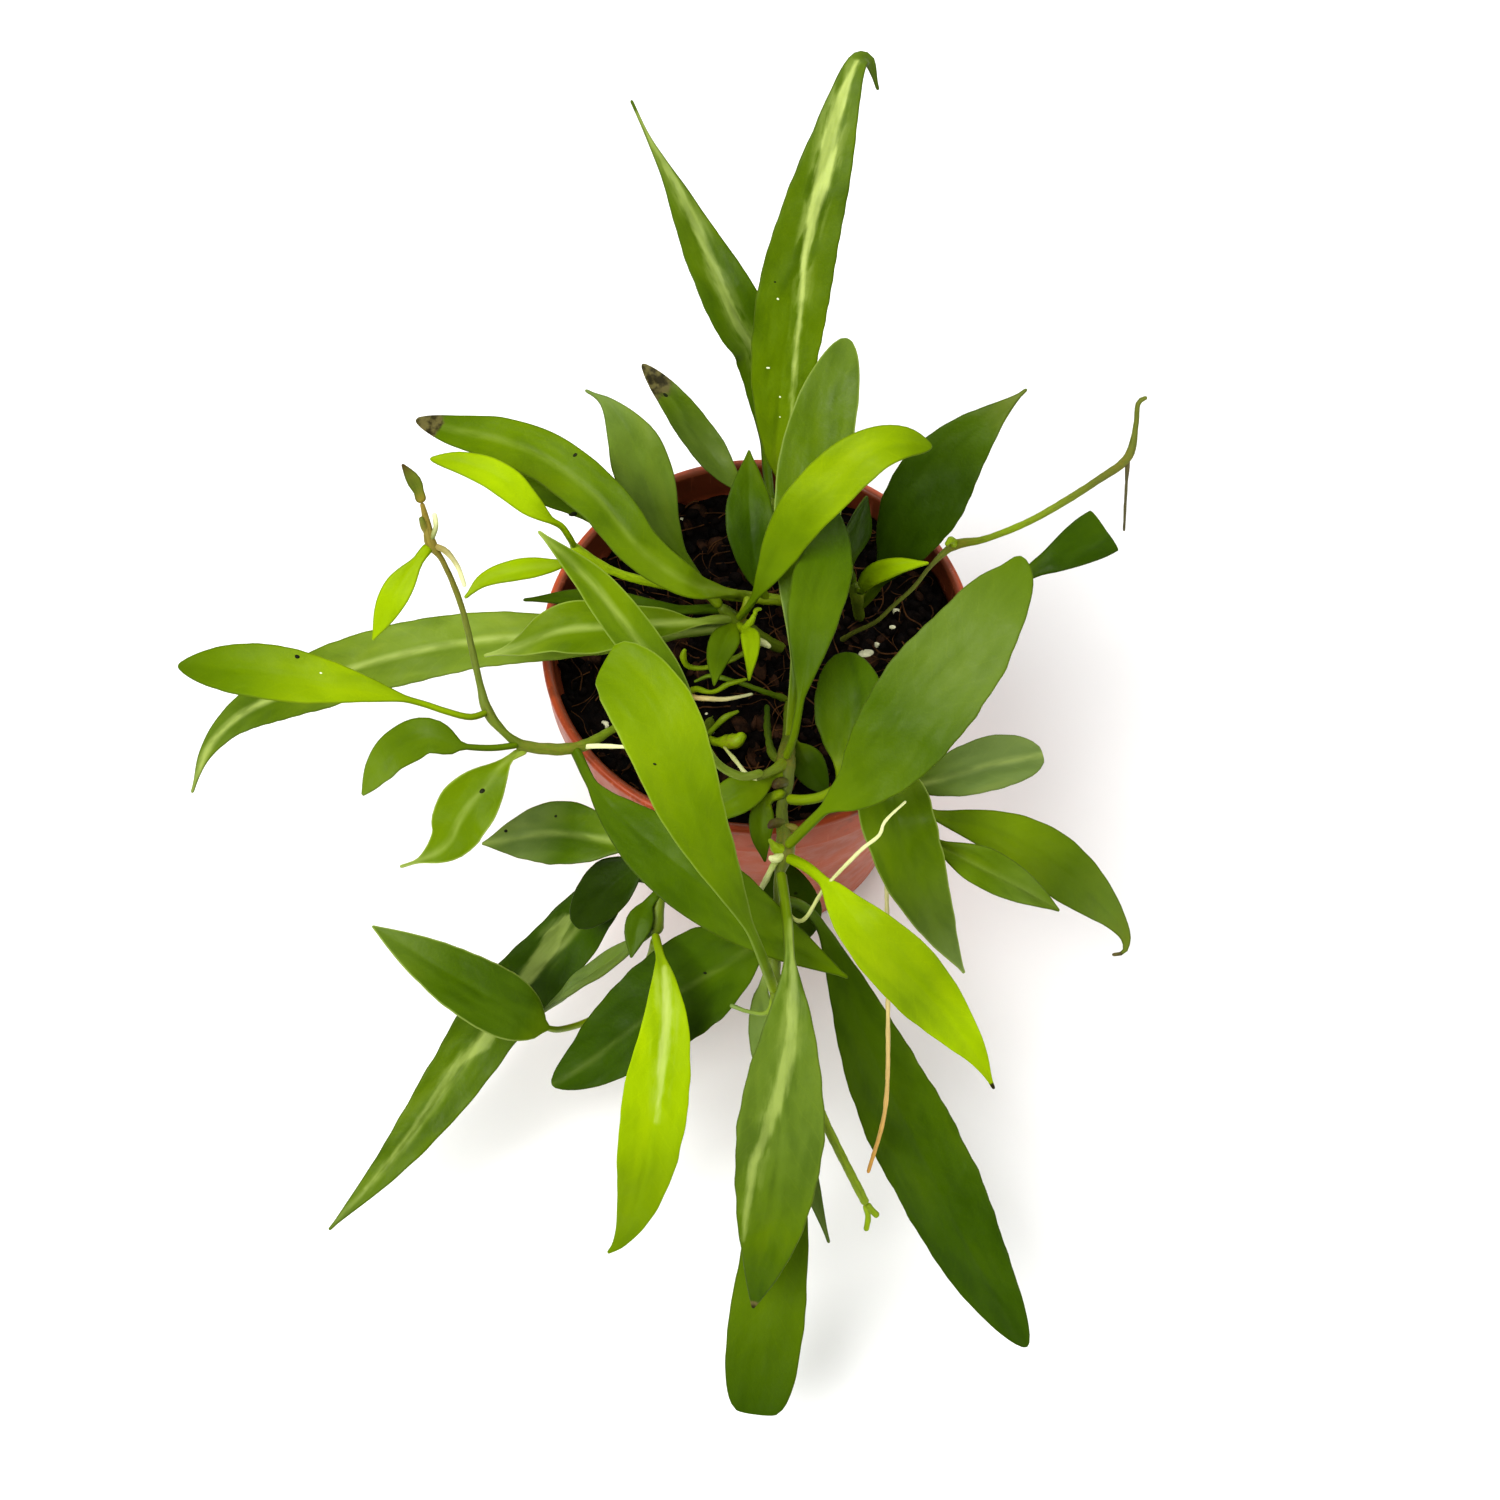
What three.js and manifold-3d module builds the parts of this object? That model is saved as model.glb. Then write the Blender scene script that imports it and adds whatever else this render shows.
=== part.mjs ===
// A hoya with long narrow leaves, growing and trailing from a small plastic nursery pot.
// Millimetres, +Z up. The origin is the middle of the pot's underside.

import * as THREE from 'three';
import { mergeVertices } from 'three/addons/utils/BufferGeometryUtils.js';
import Module from 'manifold-3d';

const wasm = await Module();
wasm.setup();

// Clearance between pieces that touch on the real plant
const GAP = 0.3;
// Corners closer together than this are one corner
const WELD = 1e-4;

// Pot: thin tapered wall, a stepped band under the rim, and drain holes in the floor
const RIM_DIAMETER = 90;
const POT_HEIGHT = 78;
const BASE_DIAMETER = 62;
const WALL = 1.4;
const FLOOR = 1.6;
const BAND_HEIGHT = 11;
const BAND_STEP = 2.2;
const LIP = 1.1;
const BASE_CHAMFER = 1.5;
const DRAIN_HOLES = 6;
const DRAIN_HOLE_DIAMETER = 8;
const DRAIN_HOLE_SIDES = 12;
const DRAIN_CIRCLE_DIAMETER = 40;
const POT_SIDES = 36;

// Soil: fills the pot to a little under the rim, lower on the left, with coarse and
// fine clods whose pitches across and deep are in radians a millimetre
const SOIL_TOP = 69;
const SOIL_SIDES = 30;
const SOIL_RINGS = 7;
const SOIL_SLOPE = 0.05;
const COARSE_CLODS = { height: 0.72, across: 0.31, deep: 0.37 };
const FINE_CLODS = { height: 0.58, across: 0.83, deep: 0.71 };

// Leaves: fleshy blades, thickest along the midrib. The blade starts and is full at
// these shares of the stalk's length, and thins from its tip's start to its tip. Its
// right edge ripples behind its left edge by a lag in radians
const RIB_THICKNESS = 1.3;
const EDGE_THICKNESS = 0.7;
const PETIOLE_THICKNESS = 2.1;
const PETIOLE_WIDTH = 2.3;
const PETIOLE_EDGE = 1.1;
const TIP_WIDTH = 0.7;
const TIP_THICKNESS = 0.8;
const TIP_START = 0.8;
const BLADE_START = 0.7;
const BLADE_FULL = 1.6;
const RIPPLE_LAG = 2;
const STATION_SPACING = 7.2;
const LEAST_STATIONS = 7;
const END_CROWDING = 0.05;
const UPWARD_SHARE = 0.5;

// Stems and rootlets: tapered tubes
const STEM_SIDES = 6;
const TWIG_SIDES = 4;
const STEM_STEP = 6;

// Gloss of each material, from 0 for a mirror to 1 for chalk
const ROUGHNESS = { pot: 0.45, soil: 0.95, stem: 0.55, leaf: 0.4 };

// The view that the places of stems and leaves are given in: a picture 1500 wide and
// high, taken from in front and above, with its middle on a point in the rim's plane
const VIEW_ELEVATION = THREE.MathUtils.degToRad(61.7);
const VIEW_DISTANCE = 560;
const VIEW_SCALE = 4.927;
const VIEW_MIDDLE = 750;
const VIEW_AIM = new THREE.Vector3(-1.7, -26.4, POT_HEIGHT);
const FOCAL = VIEW_DISTANCE * VIEW_SCALE;
const FORWARD = new THREE.Vector3(0, Math.cos(VIEW_ELEVATION), -Math.sin(VIEW_ELEVATION));
const RIGHT = new THREE.Vector3(1, 0, 0);
const UPWARD = new THREE.Vector3(0, Math.sin(VIEW_ELEVATION), Math.cos(VIEW_ELEVATION));
const EYE = VIEW_AIM.clone().addScaledVector(FORWARD, -VIEW_DISTANCE);

// The point at a picture column and row, and at a height above the floor
function seen(column, row, height) {
  const ray = FORWARD.clone();
  ray.addScaledVector(RIGHT, (column - VIEW_MIDDLE) / FOCAL);
  ray.addScaledVector(UPWARD, (VIEW_MIDDLE - row) / FOCAL);
  return EYE.clone().addScaledVector(ray, (height - EYE.z) / ray.z);
}

const smooth = THREE.MathUtils.smoothstep;
const mix = THREE.MathUtils.lerp;

// A closed skin over rings of points that run anticlockwise seen from the far end.
// Quads listed in mirrored are split on the other diagonal, so that the lower face
// of a blade folds along the same lines as its upper face.
function loft(rings, mirrored = []) {
  const sides = rings[0].length;
  const index = [];
  const at = (ring, side) => ring * sides + side % sides;
  for (let ring = 0; ring < rings.length - 1; ring += 1) {
    for (let side = 0; side < sides; side += 1) {
      const a = at(ring, side);
      const b = at(ring, side + 1);
      const c = at(ring + 1, side + 1);
      const d = at(ring + 1, side);
      if (mirrored.includes(side)) {
        index.push(a, b, d, b, c, d);
      } else {
        index.push(a, b, c, a, c, d);
      }
    }
  }
  const last = rings.length - 1;
  for (let side = 1; side < sides - 1; side += 1) {
    index.push(at(last, 0), at(last, side), at(last, side + 1));
    index.push(at(0, 0), at(0, side + 1), at(0, side));
  }
  const geometry = new THREE.BufferGeometry();
  geometry.setFromPoints(rings.flat());
  geometry.setIndex(index);
  return geometry;
}

function toSolid(geometry) {
  const bare = geometry.clone();
  bare.deleteAttribute('normal');
  bare.deleteAttribute('uv');
  const merged = mergeVertices(bare, WELD);
  return new wasm.Manifold(new wasm.Mesh({
    numProp: 3,
    vertProperties: new Float32Array(merged.attributes.position.array),
    triVerts: new Uint32Array(merged.index.array),
  }));
}

function toGeometry(solid) {
  const { numProp, vertProperties, triVerts } = solid.getMesh();
  const positions = [];
  for (let start = 0; start < vertProperties.length; start += numProp) {
    positions.push(...vertProperties.slice(start, start + 3));
  }
  const geometry = new THREE.BufferGeometry();
  geometry.setAttribute('position', new THREE.Float32BufferAttribute(positions, 3));
  geometry.setIndex(Array.from(triVerts));
  return geometry;
}

function largestPiece(solid) {
  return solid.decompose().reduce((best, piece) => (piece.volume() > best.volume() ? piece : best));
}

// Pot

function potInnerRadius(height) {
  const bandFoot = POT_HEIGHT - BAND_HEIGHT;
  const wallTop = RIM_DIAMETER / 2 - BAND_STEP;
  if (height < bandFoot) {
    return mix(BASE_DIAMETER / 2, wallTop, height / bandFoot) - WALL;
  }
  return RIM_DIAMETER / 2 - 2 * LIP;
}

function pot() {
  const rim = RIM_DIAMETER / 2;
  const base = BASE_DIAMETER / 2;
  const bandFoot = POT_HEIGHT - BAND_HEIGHT;
  const profile = [
    [0, 0],
    [base - BASE_CHAMFER, 0],
    [base, BASE_CHAMFER],
    [rim - BAND_STEP, bandFoot],
    [rim - LIP / 2, bandFoot + LIP / 2],
    [rim - LIP / 2, POT_HEIGHT - 2 * LIP],
    [rim, POT_HEIGHT - 1.5 * LIP],
    [rim, POT_HEIGHT - LIP / 2],
    [rim - LIP / 2, POT_HEIGHT],
    [rim - 1.5 * LIP, POT_HEIGHT],
    [rim - 2 * LIP, POT_HEIGHT - LIP / 2],
    [potInnerRadius(bandFoot), bandFoot + 1.5 * LIP],
    [potInnerRadius(bandFoot - LIP), bandFoot - LIP / 2],
    [potInnerRadius(FLOOR), FLOOR],
    [0, FLOOR],
  ];
  const shell = new THREE.LatheGeometry(profile.map(([x, y]) => new THREE.Vector2(x, y)), POT_SIDES);
  shell.rotateX(Math.PI / 2);
  let solid = toSolid(shell);
  for (let hole = 0; hole < DRAIN_HOLES; hole += 1) {
    const turn = 2 * Math.PI * hole / DRAIN_HOLES;
    const radius = DRAIN_HOLE_DIAMETER / 2;
    const drill = new THREE.CylinderGeometry(radius, radius, 4 * FLOOR, DRAIN_HOLE_SIDES);
    drill.rotateX(Math.PI / 2);
    drill.translate(
      DRAIN_CIRCLE_DIAMETER / 2 * Math.cos(turn),
      DRAIN_CIRCLE_DIAMETER / 2 * Math.sin(turn),
      0,
    );
    solid = solid.subtract(toSolid(drill));
  }
  return solid;
}

// Soil

function clods(x, y) {
  const wave = (clod, turn) => Math.sin(clod.across * x + turn) * Math.cos(clod.deep * y - turn);
  const coarse = COARSE_CLODS.height * wave(COARSE_CLODS, 1);
  const fine = FINE_CLODS.height * wave(FINE_CLODS, COARSE_CLODS.deep * x);
  return coarse + fine + SOIL_SLOPE * x;
}

function soil(stemHoles) {
  const bottom = FLOOR + GAP;
  const bandFoot = POT_HEIGHT - BAND_HEIGHT;
  const side = (height) => potInnerRadius(height) - 2 * GAP;
  const profile = [
    [0, bottom],
    [side(bottom), bottom],
    [side(bandFoot - 2 * LIP), bandFoot - 2 * LIP],
  ];
  for (let ring = 0; ring <= SOIL_RINGS; ring += 1) {
    profile.push([side(bandFoot - LIP) * (1 - ring / SOIL_RINGS), SOIL_TOP]);
  }
  const mound = new THREE.LatheGeometry(profile.map(([x, y]) => new THREE.Vector2(x, y)), SOIL_SIDES);
  mound.rotateX(Math.PI / 2);
  const place = mound.attributes.position;
  for (let i = 0; i < place.count; i += 1) {
    if (place.getZ(i) > SOIL_TOP - GAP) {
      place.setZ(i, SOIL_TOP + clods(place.getX(i), place.getY(i)));
    }
  }
  return stemHoles.reduce((earth, hole) => earth.subtract(hole), toSolid(mound));
}

// Stems: each point of a path is a picture column, row, height and stem radius

function tube(path, sides, grow) {
  const points = path.map(([column, row, height]) => seen(column, row, height));
  const curve = new THREE.CatmullRomCurve3(points, false, 'centripetal');
  const places = [];
  for (let span = 0; span < points.length - 1; span += 1) {
    const steps = Math.max(1, Math.round(points[span].distanceTo(points[span + 1]) / STEM_STEP));
    for (let step = 0; step < steps; step += 1) {
      places.push((span + step / steps) / (points.length - 1));
    }
  }
  places.push(1);
  const flatness = Math.cos(Math.PI / sides);
  let across = new THREE.Vector3(0, 0, 1);
  const rings = places.map((place) => {
    const centre = curve.getPoint(place);
    const tangent = curve.getTangent(place);
    across = across.clone().addScaledVector(tangent, -across.dot(tangent)).normalize();
    const beside = tangent.clone().cross(across);
    const along = place * (points.length - 1);
    const before = Math.min(Math.floor(along), points.length - 2);
    const radius = mix(path[before][3], path[before + 1][3], along - before) + grow / flatness;
    if (place === 0 || place === 1) {
      centre.addScaledVector(tangent, place === 0 ? -grow : grow);
    }
    return Array.from({ length: sides }, (_, side) => {
      const turn = 2 * Math.PI * (side + 0.5) / sides;
      const point = centre.clone();
      point.addScaledVector(across, radius * Math.cos(turn));
      return point.addScaledVector(beside, radius * Math.sin(turn));
    });
  });
  return toSolid(loft(rings));
}

function stemSolid(stem, grow = 0) {
  const twigs = (stem.twigs ?? []).map((path) => tube(path, TWIG_SIDES, grow));
  const leaflets = (stem.leaflets ?? []).map((leaflet) => bladeSolid(leaflet, grow));
  const whole = [...twigs, ...leaflets].reduce(
    (body, piece) => body.add(piece),
    tube(stem.path, STEM_SIDES, grow),
  );
  return largestPiece(whole);
}

// Leaves: a midrib through points of the picture, with a blade that widens and narrows
// along it, folds up from it by an angle, rolls about it and waves at its edges

const PLAIN_LEAF = {
  petiole: 0.12,
  stalk: 1,
  widest: 0.45,
  baseTaper: 1.2,
  tipTaper: 1,
  fold: 12,
  roll: [0, 0],
  wave: 0,
  waves: 3,
};

function bladeWidth(leaf, along) {
  const place = (along - leaf.petiole) / (1 - leaf.petiole);
  if (place <= 0) {
    return 0;
  }
  if (place < leaf.widest) {
    return leaf.width * Math.sin(Math.PI / 2 * place / leaf.widest) ** leaf.baseTaper;
  }
  const towardsTip = (1 - place) / (1 - leaf.widest);
  return leaf.width * Math.sin(Math.PI / 2 * towardsTip) ** leaf.tipTaper;
}

function bladeSolid(description, grow = 0) {
  const leaf = { ...PLAIN_LEAF, ...description };
  const points = leaf.rib.map(([column, row, height]) => seen(column, row, height));
  const rib = new THREE.CatmullRomCurve3(points, false, 'centripetal');
  const stations = Math.max(LEAST_STATIONS, Math.round(rib.getLength() / STATION_SPACING));
  const rings = [];
  for (let station = 0; station <= stations; station += 1) {
    const even = station / stations;
    const along = even - END_CROWDING * Math.sin(2 * Math.PI * even);
    const centre = rib.getPointAt(along);
    const tangent = rib.getTangentAt(along);
    const facing = EYE.clone().sub(centre).normalize().multiplyScalar(1 - UPWARD_SHARE);
    facing.z += UPWARD_SHARE;
    facing.addScaledVector(tangent, -facing.dot(tangent)).normalize();
    facing.applyAxisAngle(tangent, THREE.MathUtils.degToRad(mix(...leaf.roll, along)));
    const beside = tangent.clone().cross(facing);

    const blade = smooth(along, BLADE_START * leaf.petiole, BLADE_FULL * leaf.petiole);
    const end = smooth(along, TIP_START, 1);
    const thick = mix(mix(leaf.stalk * PETIOLE_THICKNESS, RIB_THICKNESS, blade), TIP_THICKNESS, end) + 2 * grow;
    const thin = mix(mix(leaf.stalk * PETIOLE_EDGE, EDGE_THICKNESS, blade), EDGE_THICKNESS, end) + 2 * grow;
    const least = mix(leaf.stalk * PETIOLE_WIDTH, TIP_WIDTH, smooth(along, 0, 1));
    const half = Math.max(bladeWidth(leaf, along), least) / 2 + grow;
    const fold = THREE.MathUtils.degToRad(leaf.fold) * blade;
    const ripple = leaf.wave * blade * (1 - end);
    const edge = (sign, phase) => {
      const lift = half * Math.sin(fold) + ripple * Math.sin(2 * Math.PI * leaf.waves * along + phase);
      const point = centre.clone().addScaledVector(beside, sign * half * Math.cos(fold));
      return point.addScaledVector(facing, lift);
    };
    const left = edge(-1, 0);
    const right = edge(1, RIPPLE_LAG);
    rings.push([
      left.clone().addScaledVector(facing, thin / 2),
      centre.clone().addScaledVector(facing, thick / 2),
      right.clone().addScaledVector(facing, thin / 2),
      right.clone().addScaledVector(facing, -thin / 2),
      centre.clone().addScaledVector(facing, -thick / 2),
      left.clone().addScaledVector(facing, -thin / 2),
    ]);
  }
  return toSolid(loft(rings, [3, 4]));
}

// Colours
const TERRACOTTA = 0xc8624a;
const SOIL_BROWN = 0x2b1d14;
const STEM_OLIVE = 0x6c7d2d;
const STEM_BROWN = 0x7a6a38;
const DARK = 0x3c5f1c;
const MID = 0x5f9122;
const LIME = 0x8fbd1a;
const YELLOW = 0xaed015;
const GREY = 0x5a7a45;
const STRIPED = 0x6b9440;

// Growth table: picture column, row and height above the floor of every point

const stems = [
  {
    name: 'stem_left',
    colour: STEM_OLIVE,
    path: [
      [700, 690, 60, 1.1], [660, 705, 82, 0.8], [615, 728, 92, 0.8], [575, 748, 98, 1.2],
      [522, 745, 102, 1.1], [505, 733, 105, 0.8], [488, 712, 108, 1.1], [479, 680, 112, 0.7],
      [461, 605, 122, 0.6], [441, 558, 132, 0.55], [431, 544, 135, 1.1], [427, 524, 138, 0.8],
      [422, 503, 142, 0.45],
    ],
    twigs: [
      [[429, 535, 136, 0.7], [424, 526, 138, 0.7], [421, 517, 140, 0.55]],
      [[431, 540, 136, 0.6], [436, 526, 138, 0.5], [434, 513, 140, 0.45]],
      [[431, 545, 135, 0.7], [444, 550, 134, 0.6], [457, 565, 131, 0.5], [465, 587, 128, 0.4]],
      [[572, 747, 98, 0.6], [600, 746, 97, 0.5], [626, 747, 96, 0.4]],
      [[690, 694, 67, 0.7], [699, 698, 74, 0.6], [725, 699, 76, 0.5], [753, 694, 75, 0.35]],
      [
        [690, 694, 67, 0.7], [697, 689, 77, 0.65], [713, 692, 80, 0.5], [729, 684, 83, 0.55],
        [747, 679, 83.5, 0.35],
      ],
    ],
    leaflets: [
      { rib: [[422, 503, 142], [417, 487, 144], [409, 474, 146], [402, 464, 147]], width: 2.7, petiole: 0.1 },
    ],
  },
  {
    name: 'stem_upper_left',
    colour: STEM_OLIVE,
    path: [
      [805, 605, 60, 1.1], [778, 600, 83, 1.2], [750, 597, 87, 1.3], [690, 590, 92, 0.9],
      [615, 572, 100, 0.9], [577, 549, 106, 1], [571, 543, 107, 0.7],
    ],
  },
  {
    name: 'stem_centre',
    colour: STEM_OLIVE,
    path: [
      [795, 655, 60, 1.2], [765, 640, 78, 1.3], [737, 622, 88, 1.8], [720, 606, 93, 1.1],
    ],
    twigs: [
      [[737, 622, 88, 0.9], [744, 629, 91, 0.9], [750, 623, 94, 0.8], [755, 614, 96, 0.5]],
      [[755, 616, 96, 0.5], [756, 610, 97, 0.45], [762, 609, 97, 0.35]],
      [[737, 622, 88, 1.0], [745, 610, 92, 0.9], [748, 596, 94, 0.8]],
      [
        [765, 640, 78, 0.9], [735, 658, 80, 0.6], [703, 668, 81, 0.5], [688, 666, 83, 0.6],
        [683, 656, 86, 0.7], [685, 649, 88, 0.4],
      ],
      [[765, 640, 78, 0.9], [757, 640, 81, 0.8], [763, 643, 83, 0.8], [771, 647, 83, 0.5]],
    ],
    leaflets: [
      {
        rib: [[737, 622, 88], [729, 633, 91], [719, 655, 92], [714, 686, 91]],
        width: 6.2,
        petiole: 0.06,
        widest: 0.42,
      },
      {
        rib: [[743, 629, 91], [750, 636, 95], [751, 655, 96], [749, 681, 95]],
        width: 4,
        petiole: 0.06,
        widest: 0.36,
      },
    ],
  },
  {
    name: 'stem_right_centre',
    colour: STEM_OLIVE,
    path: [
      [862, 630, 60, 1.1], [858, 608, 76, 1.2], [856, 592, 86, 1.5], [851, 580, 90, 0.9],
    ],
  },
  {
    name: 'stem_right_bare',
    colour: STEM_BROWN,
    path: [
      [828, 650, 60, 0.8], [853, 633, 76, 0.5], [877, 621, 82, 0.45], [893, 606, 85, 0.45],
      [914, 587, 89, 0.45], [929, 568, 92, 0.45], [946, 551, 94, 0.7], [955, 545, 95, 1.1],
      [985, 539, 100, 0.7], [1030, 521, 107, 0.7], [1067, 500, 113, 0.75], [1098, 480, 119, 0.75],
      [1128, 457, 125, 0.9], [1136, 425, 130, 0.55], [1139, 402, 134, 0.5], [1147, 397, 135, 0.4],
    ],
    twigs: [
      [[1128, 457, 125, 0.5], [1126, 490, 118, 0.3], [1124, 531, 110, 0.25]],
      [[955, 545, 95, 0.9], [951, 540, 98, 0.8], [946, 545, 99, 0.5]],
    ],
  },
  {
    name: 'stem_front',
    colour: STEM_OLIVE,
    path: [
      [790, 690, 60, 1.3], [789, 735, 84, 1.3], [786, 762, 93, 1.9], [787, 783, 92, 1.3],
      [782, 806, 90, 1.1], [783, 828, 91, 1.3], [785, 851, 94, 2.0], [780, 872, 92, 1.1],
      [779, 900, 91, 1.1], [775, 985, 84, 1.3],
      [800, 1062, 76, 0.9], [826, 1124, 66, 0.9], [866, 1204, 49, 0.9],
    ],
    twigs: [
      [[786, 762, 93, 1.2], [774, 756, 88, 0.9], [768, 735, 82, 0.75], [767, 706, 74, 0.6]],
      [[786, 762, 93, 1.3], [776, 769, 95, 1.1], [766, 774, 96, 0.9], [757, 780, 96, 0.4]],
      [[787, 783, 92, 1.1], [779, 783, 94, 1.1], [772, 787, 94, 0.6]],
      [[783, 824, 91, 1.1], [774, 823, 93, 1.0], [768, 828, 93, 0.5]],
      [[783, 828, 91, 1.1], [792, 828, 92, 1.0], [800, 832, 91, 0.5]],
      [[785, 851, 94, 1.4], [776, 848, 96, 1.0], [769, 839, 98, 0.4]],
      [[785, 851, 94, 1.4], [776, 859, 95, 1.0], [769, 857, 96, 0.5]],
      [[866, 1204, 49, 0.8], [872, 1210, 48, 0.7], [878, 1217, 47, 0.7]],
      [[866, 1204, 49, 0.8], [868, 1218, 46, 0.6], [866, 1231, 44, 0.5]],
      [[782, 853, 94, 0.7], [774, 864, 94, 0.7], [766, 880, 92, 0.6], [758, 894, 91, 0.5]],
      [
        [779, 905, 91, 0.5], [801, 921, 93, 0.4], [824, 889, 98, 0.38], [861, 850, 104, 0.38],
        [880, 834, 107, 0.34], [884, 823, 108, 0.34], [906, 801, 110, 0.25],
      ],
      [[775, 985, 84, 0.6], [768, 1012, 80, 0.5], [750, 1012, 78, 0.45], [730, 1005, 77, 0.4]],
      [
        [789, 705, 67, 1], [784, 699, 70, 0.8], [765, 692, 76, 0.6], [743, 684, 80, 0.5],
        [722, 678, 81, 0.55], [708, 676, 80, 0.5], [694, 682, 79, 0.3],
      ],
      [[758, 779, 95.5, 0.5], [748, 775, 94, 0.45], [736, 761, 90, 0.45], [724, 747, 86, 0.3]],
    ],
  },
  {
    name: 'stem_right',
    colour: STEM_OLIVE,
    path: [
      [850, 690, 60, 1.2], [866, 735, 79, 1.3], [886, 768, 88, 1.6], [902, 798, 88, 1.3],
      [918, 826, 85, 1.4],
    ],
    twigs: [
      [
        [902, 798, 88, 0.6], [893, 840, 82, 0.5], [887, 885, 77, 0.45], [888, 940, 75, 0.45],
        [888, 1000, 73, 0.45], [885, 1110, 64, 0.45], [868, 1173, 55, 0.4],
      ],
    ],
  },
  {
    name: 'stem_front_left',
    colour: STEM_OLIVE,
    path: [
      [720, 700, 60, 1.2], [685, 785, 86, 1.2], [675, 820, 86, 1.2], [666, 850, 80, 1.6],
      [660, 895, 76, 1.1], [655, 935, 72, 1.6],
    ],
    twigs: [
      [[704, 738, 72.5, 0.8], [714, 728, 76, 0.6], [726, 717, 79, 0.7], [739, 711, 79, 0.35]],
      [
        [704, 738, 72.5, 0.9], [718, 742, 75, 1.0], [728, 742, 77, 1.5], [736, 741, 79, 1.7],
        [741, 737, 80, 1.2], [743, 733, 81, 0.6],
      ],
    ],
  },
  {
    name: 'stem_back',
    colour: STEM_OLIVE,
    path: [
      [790, 560, 60, 1.2], [784, 540, 72, 1.2], [779, 515, 81, 1.8], [768, 500, 86, 1.1],
    ],
  },
];

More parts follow.
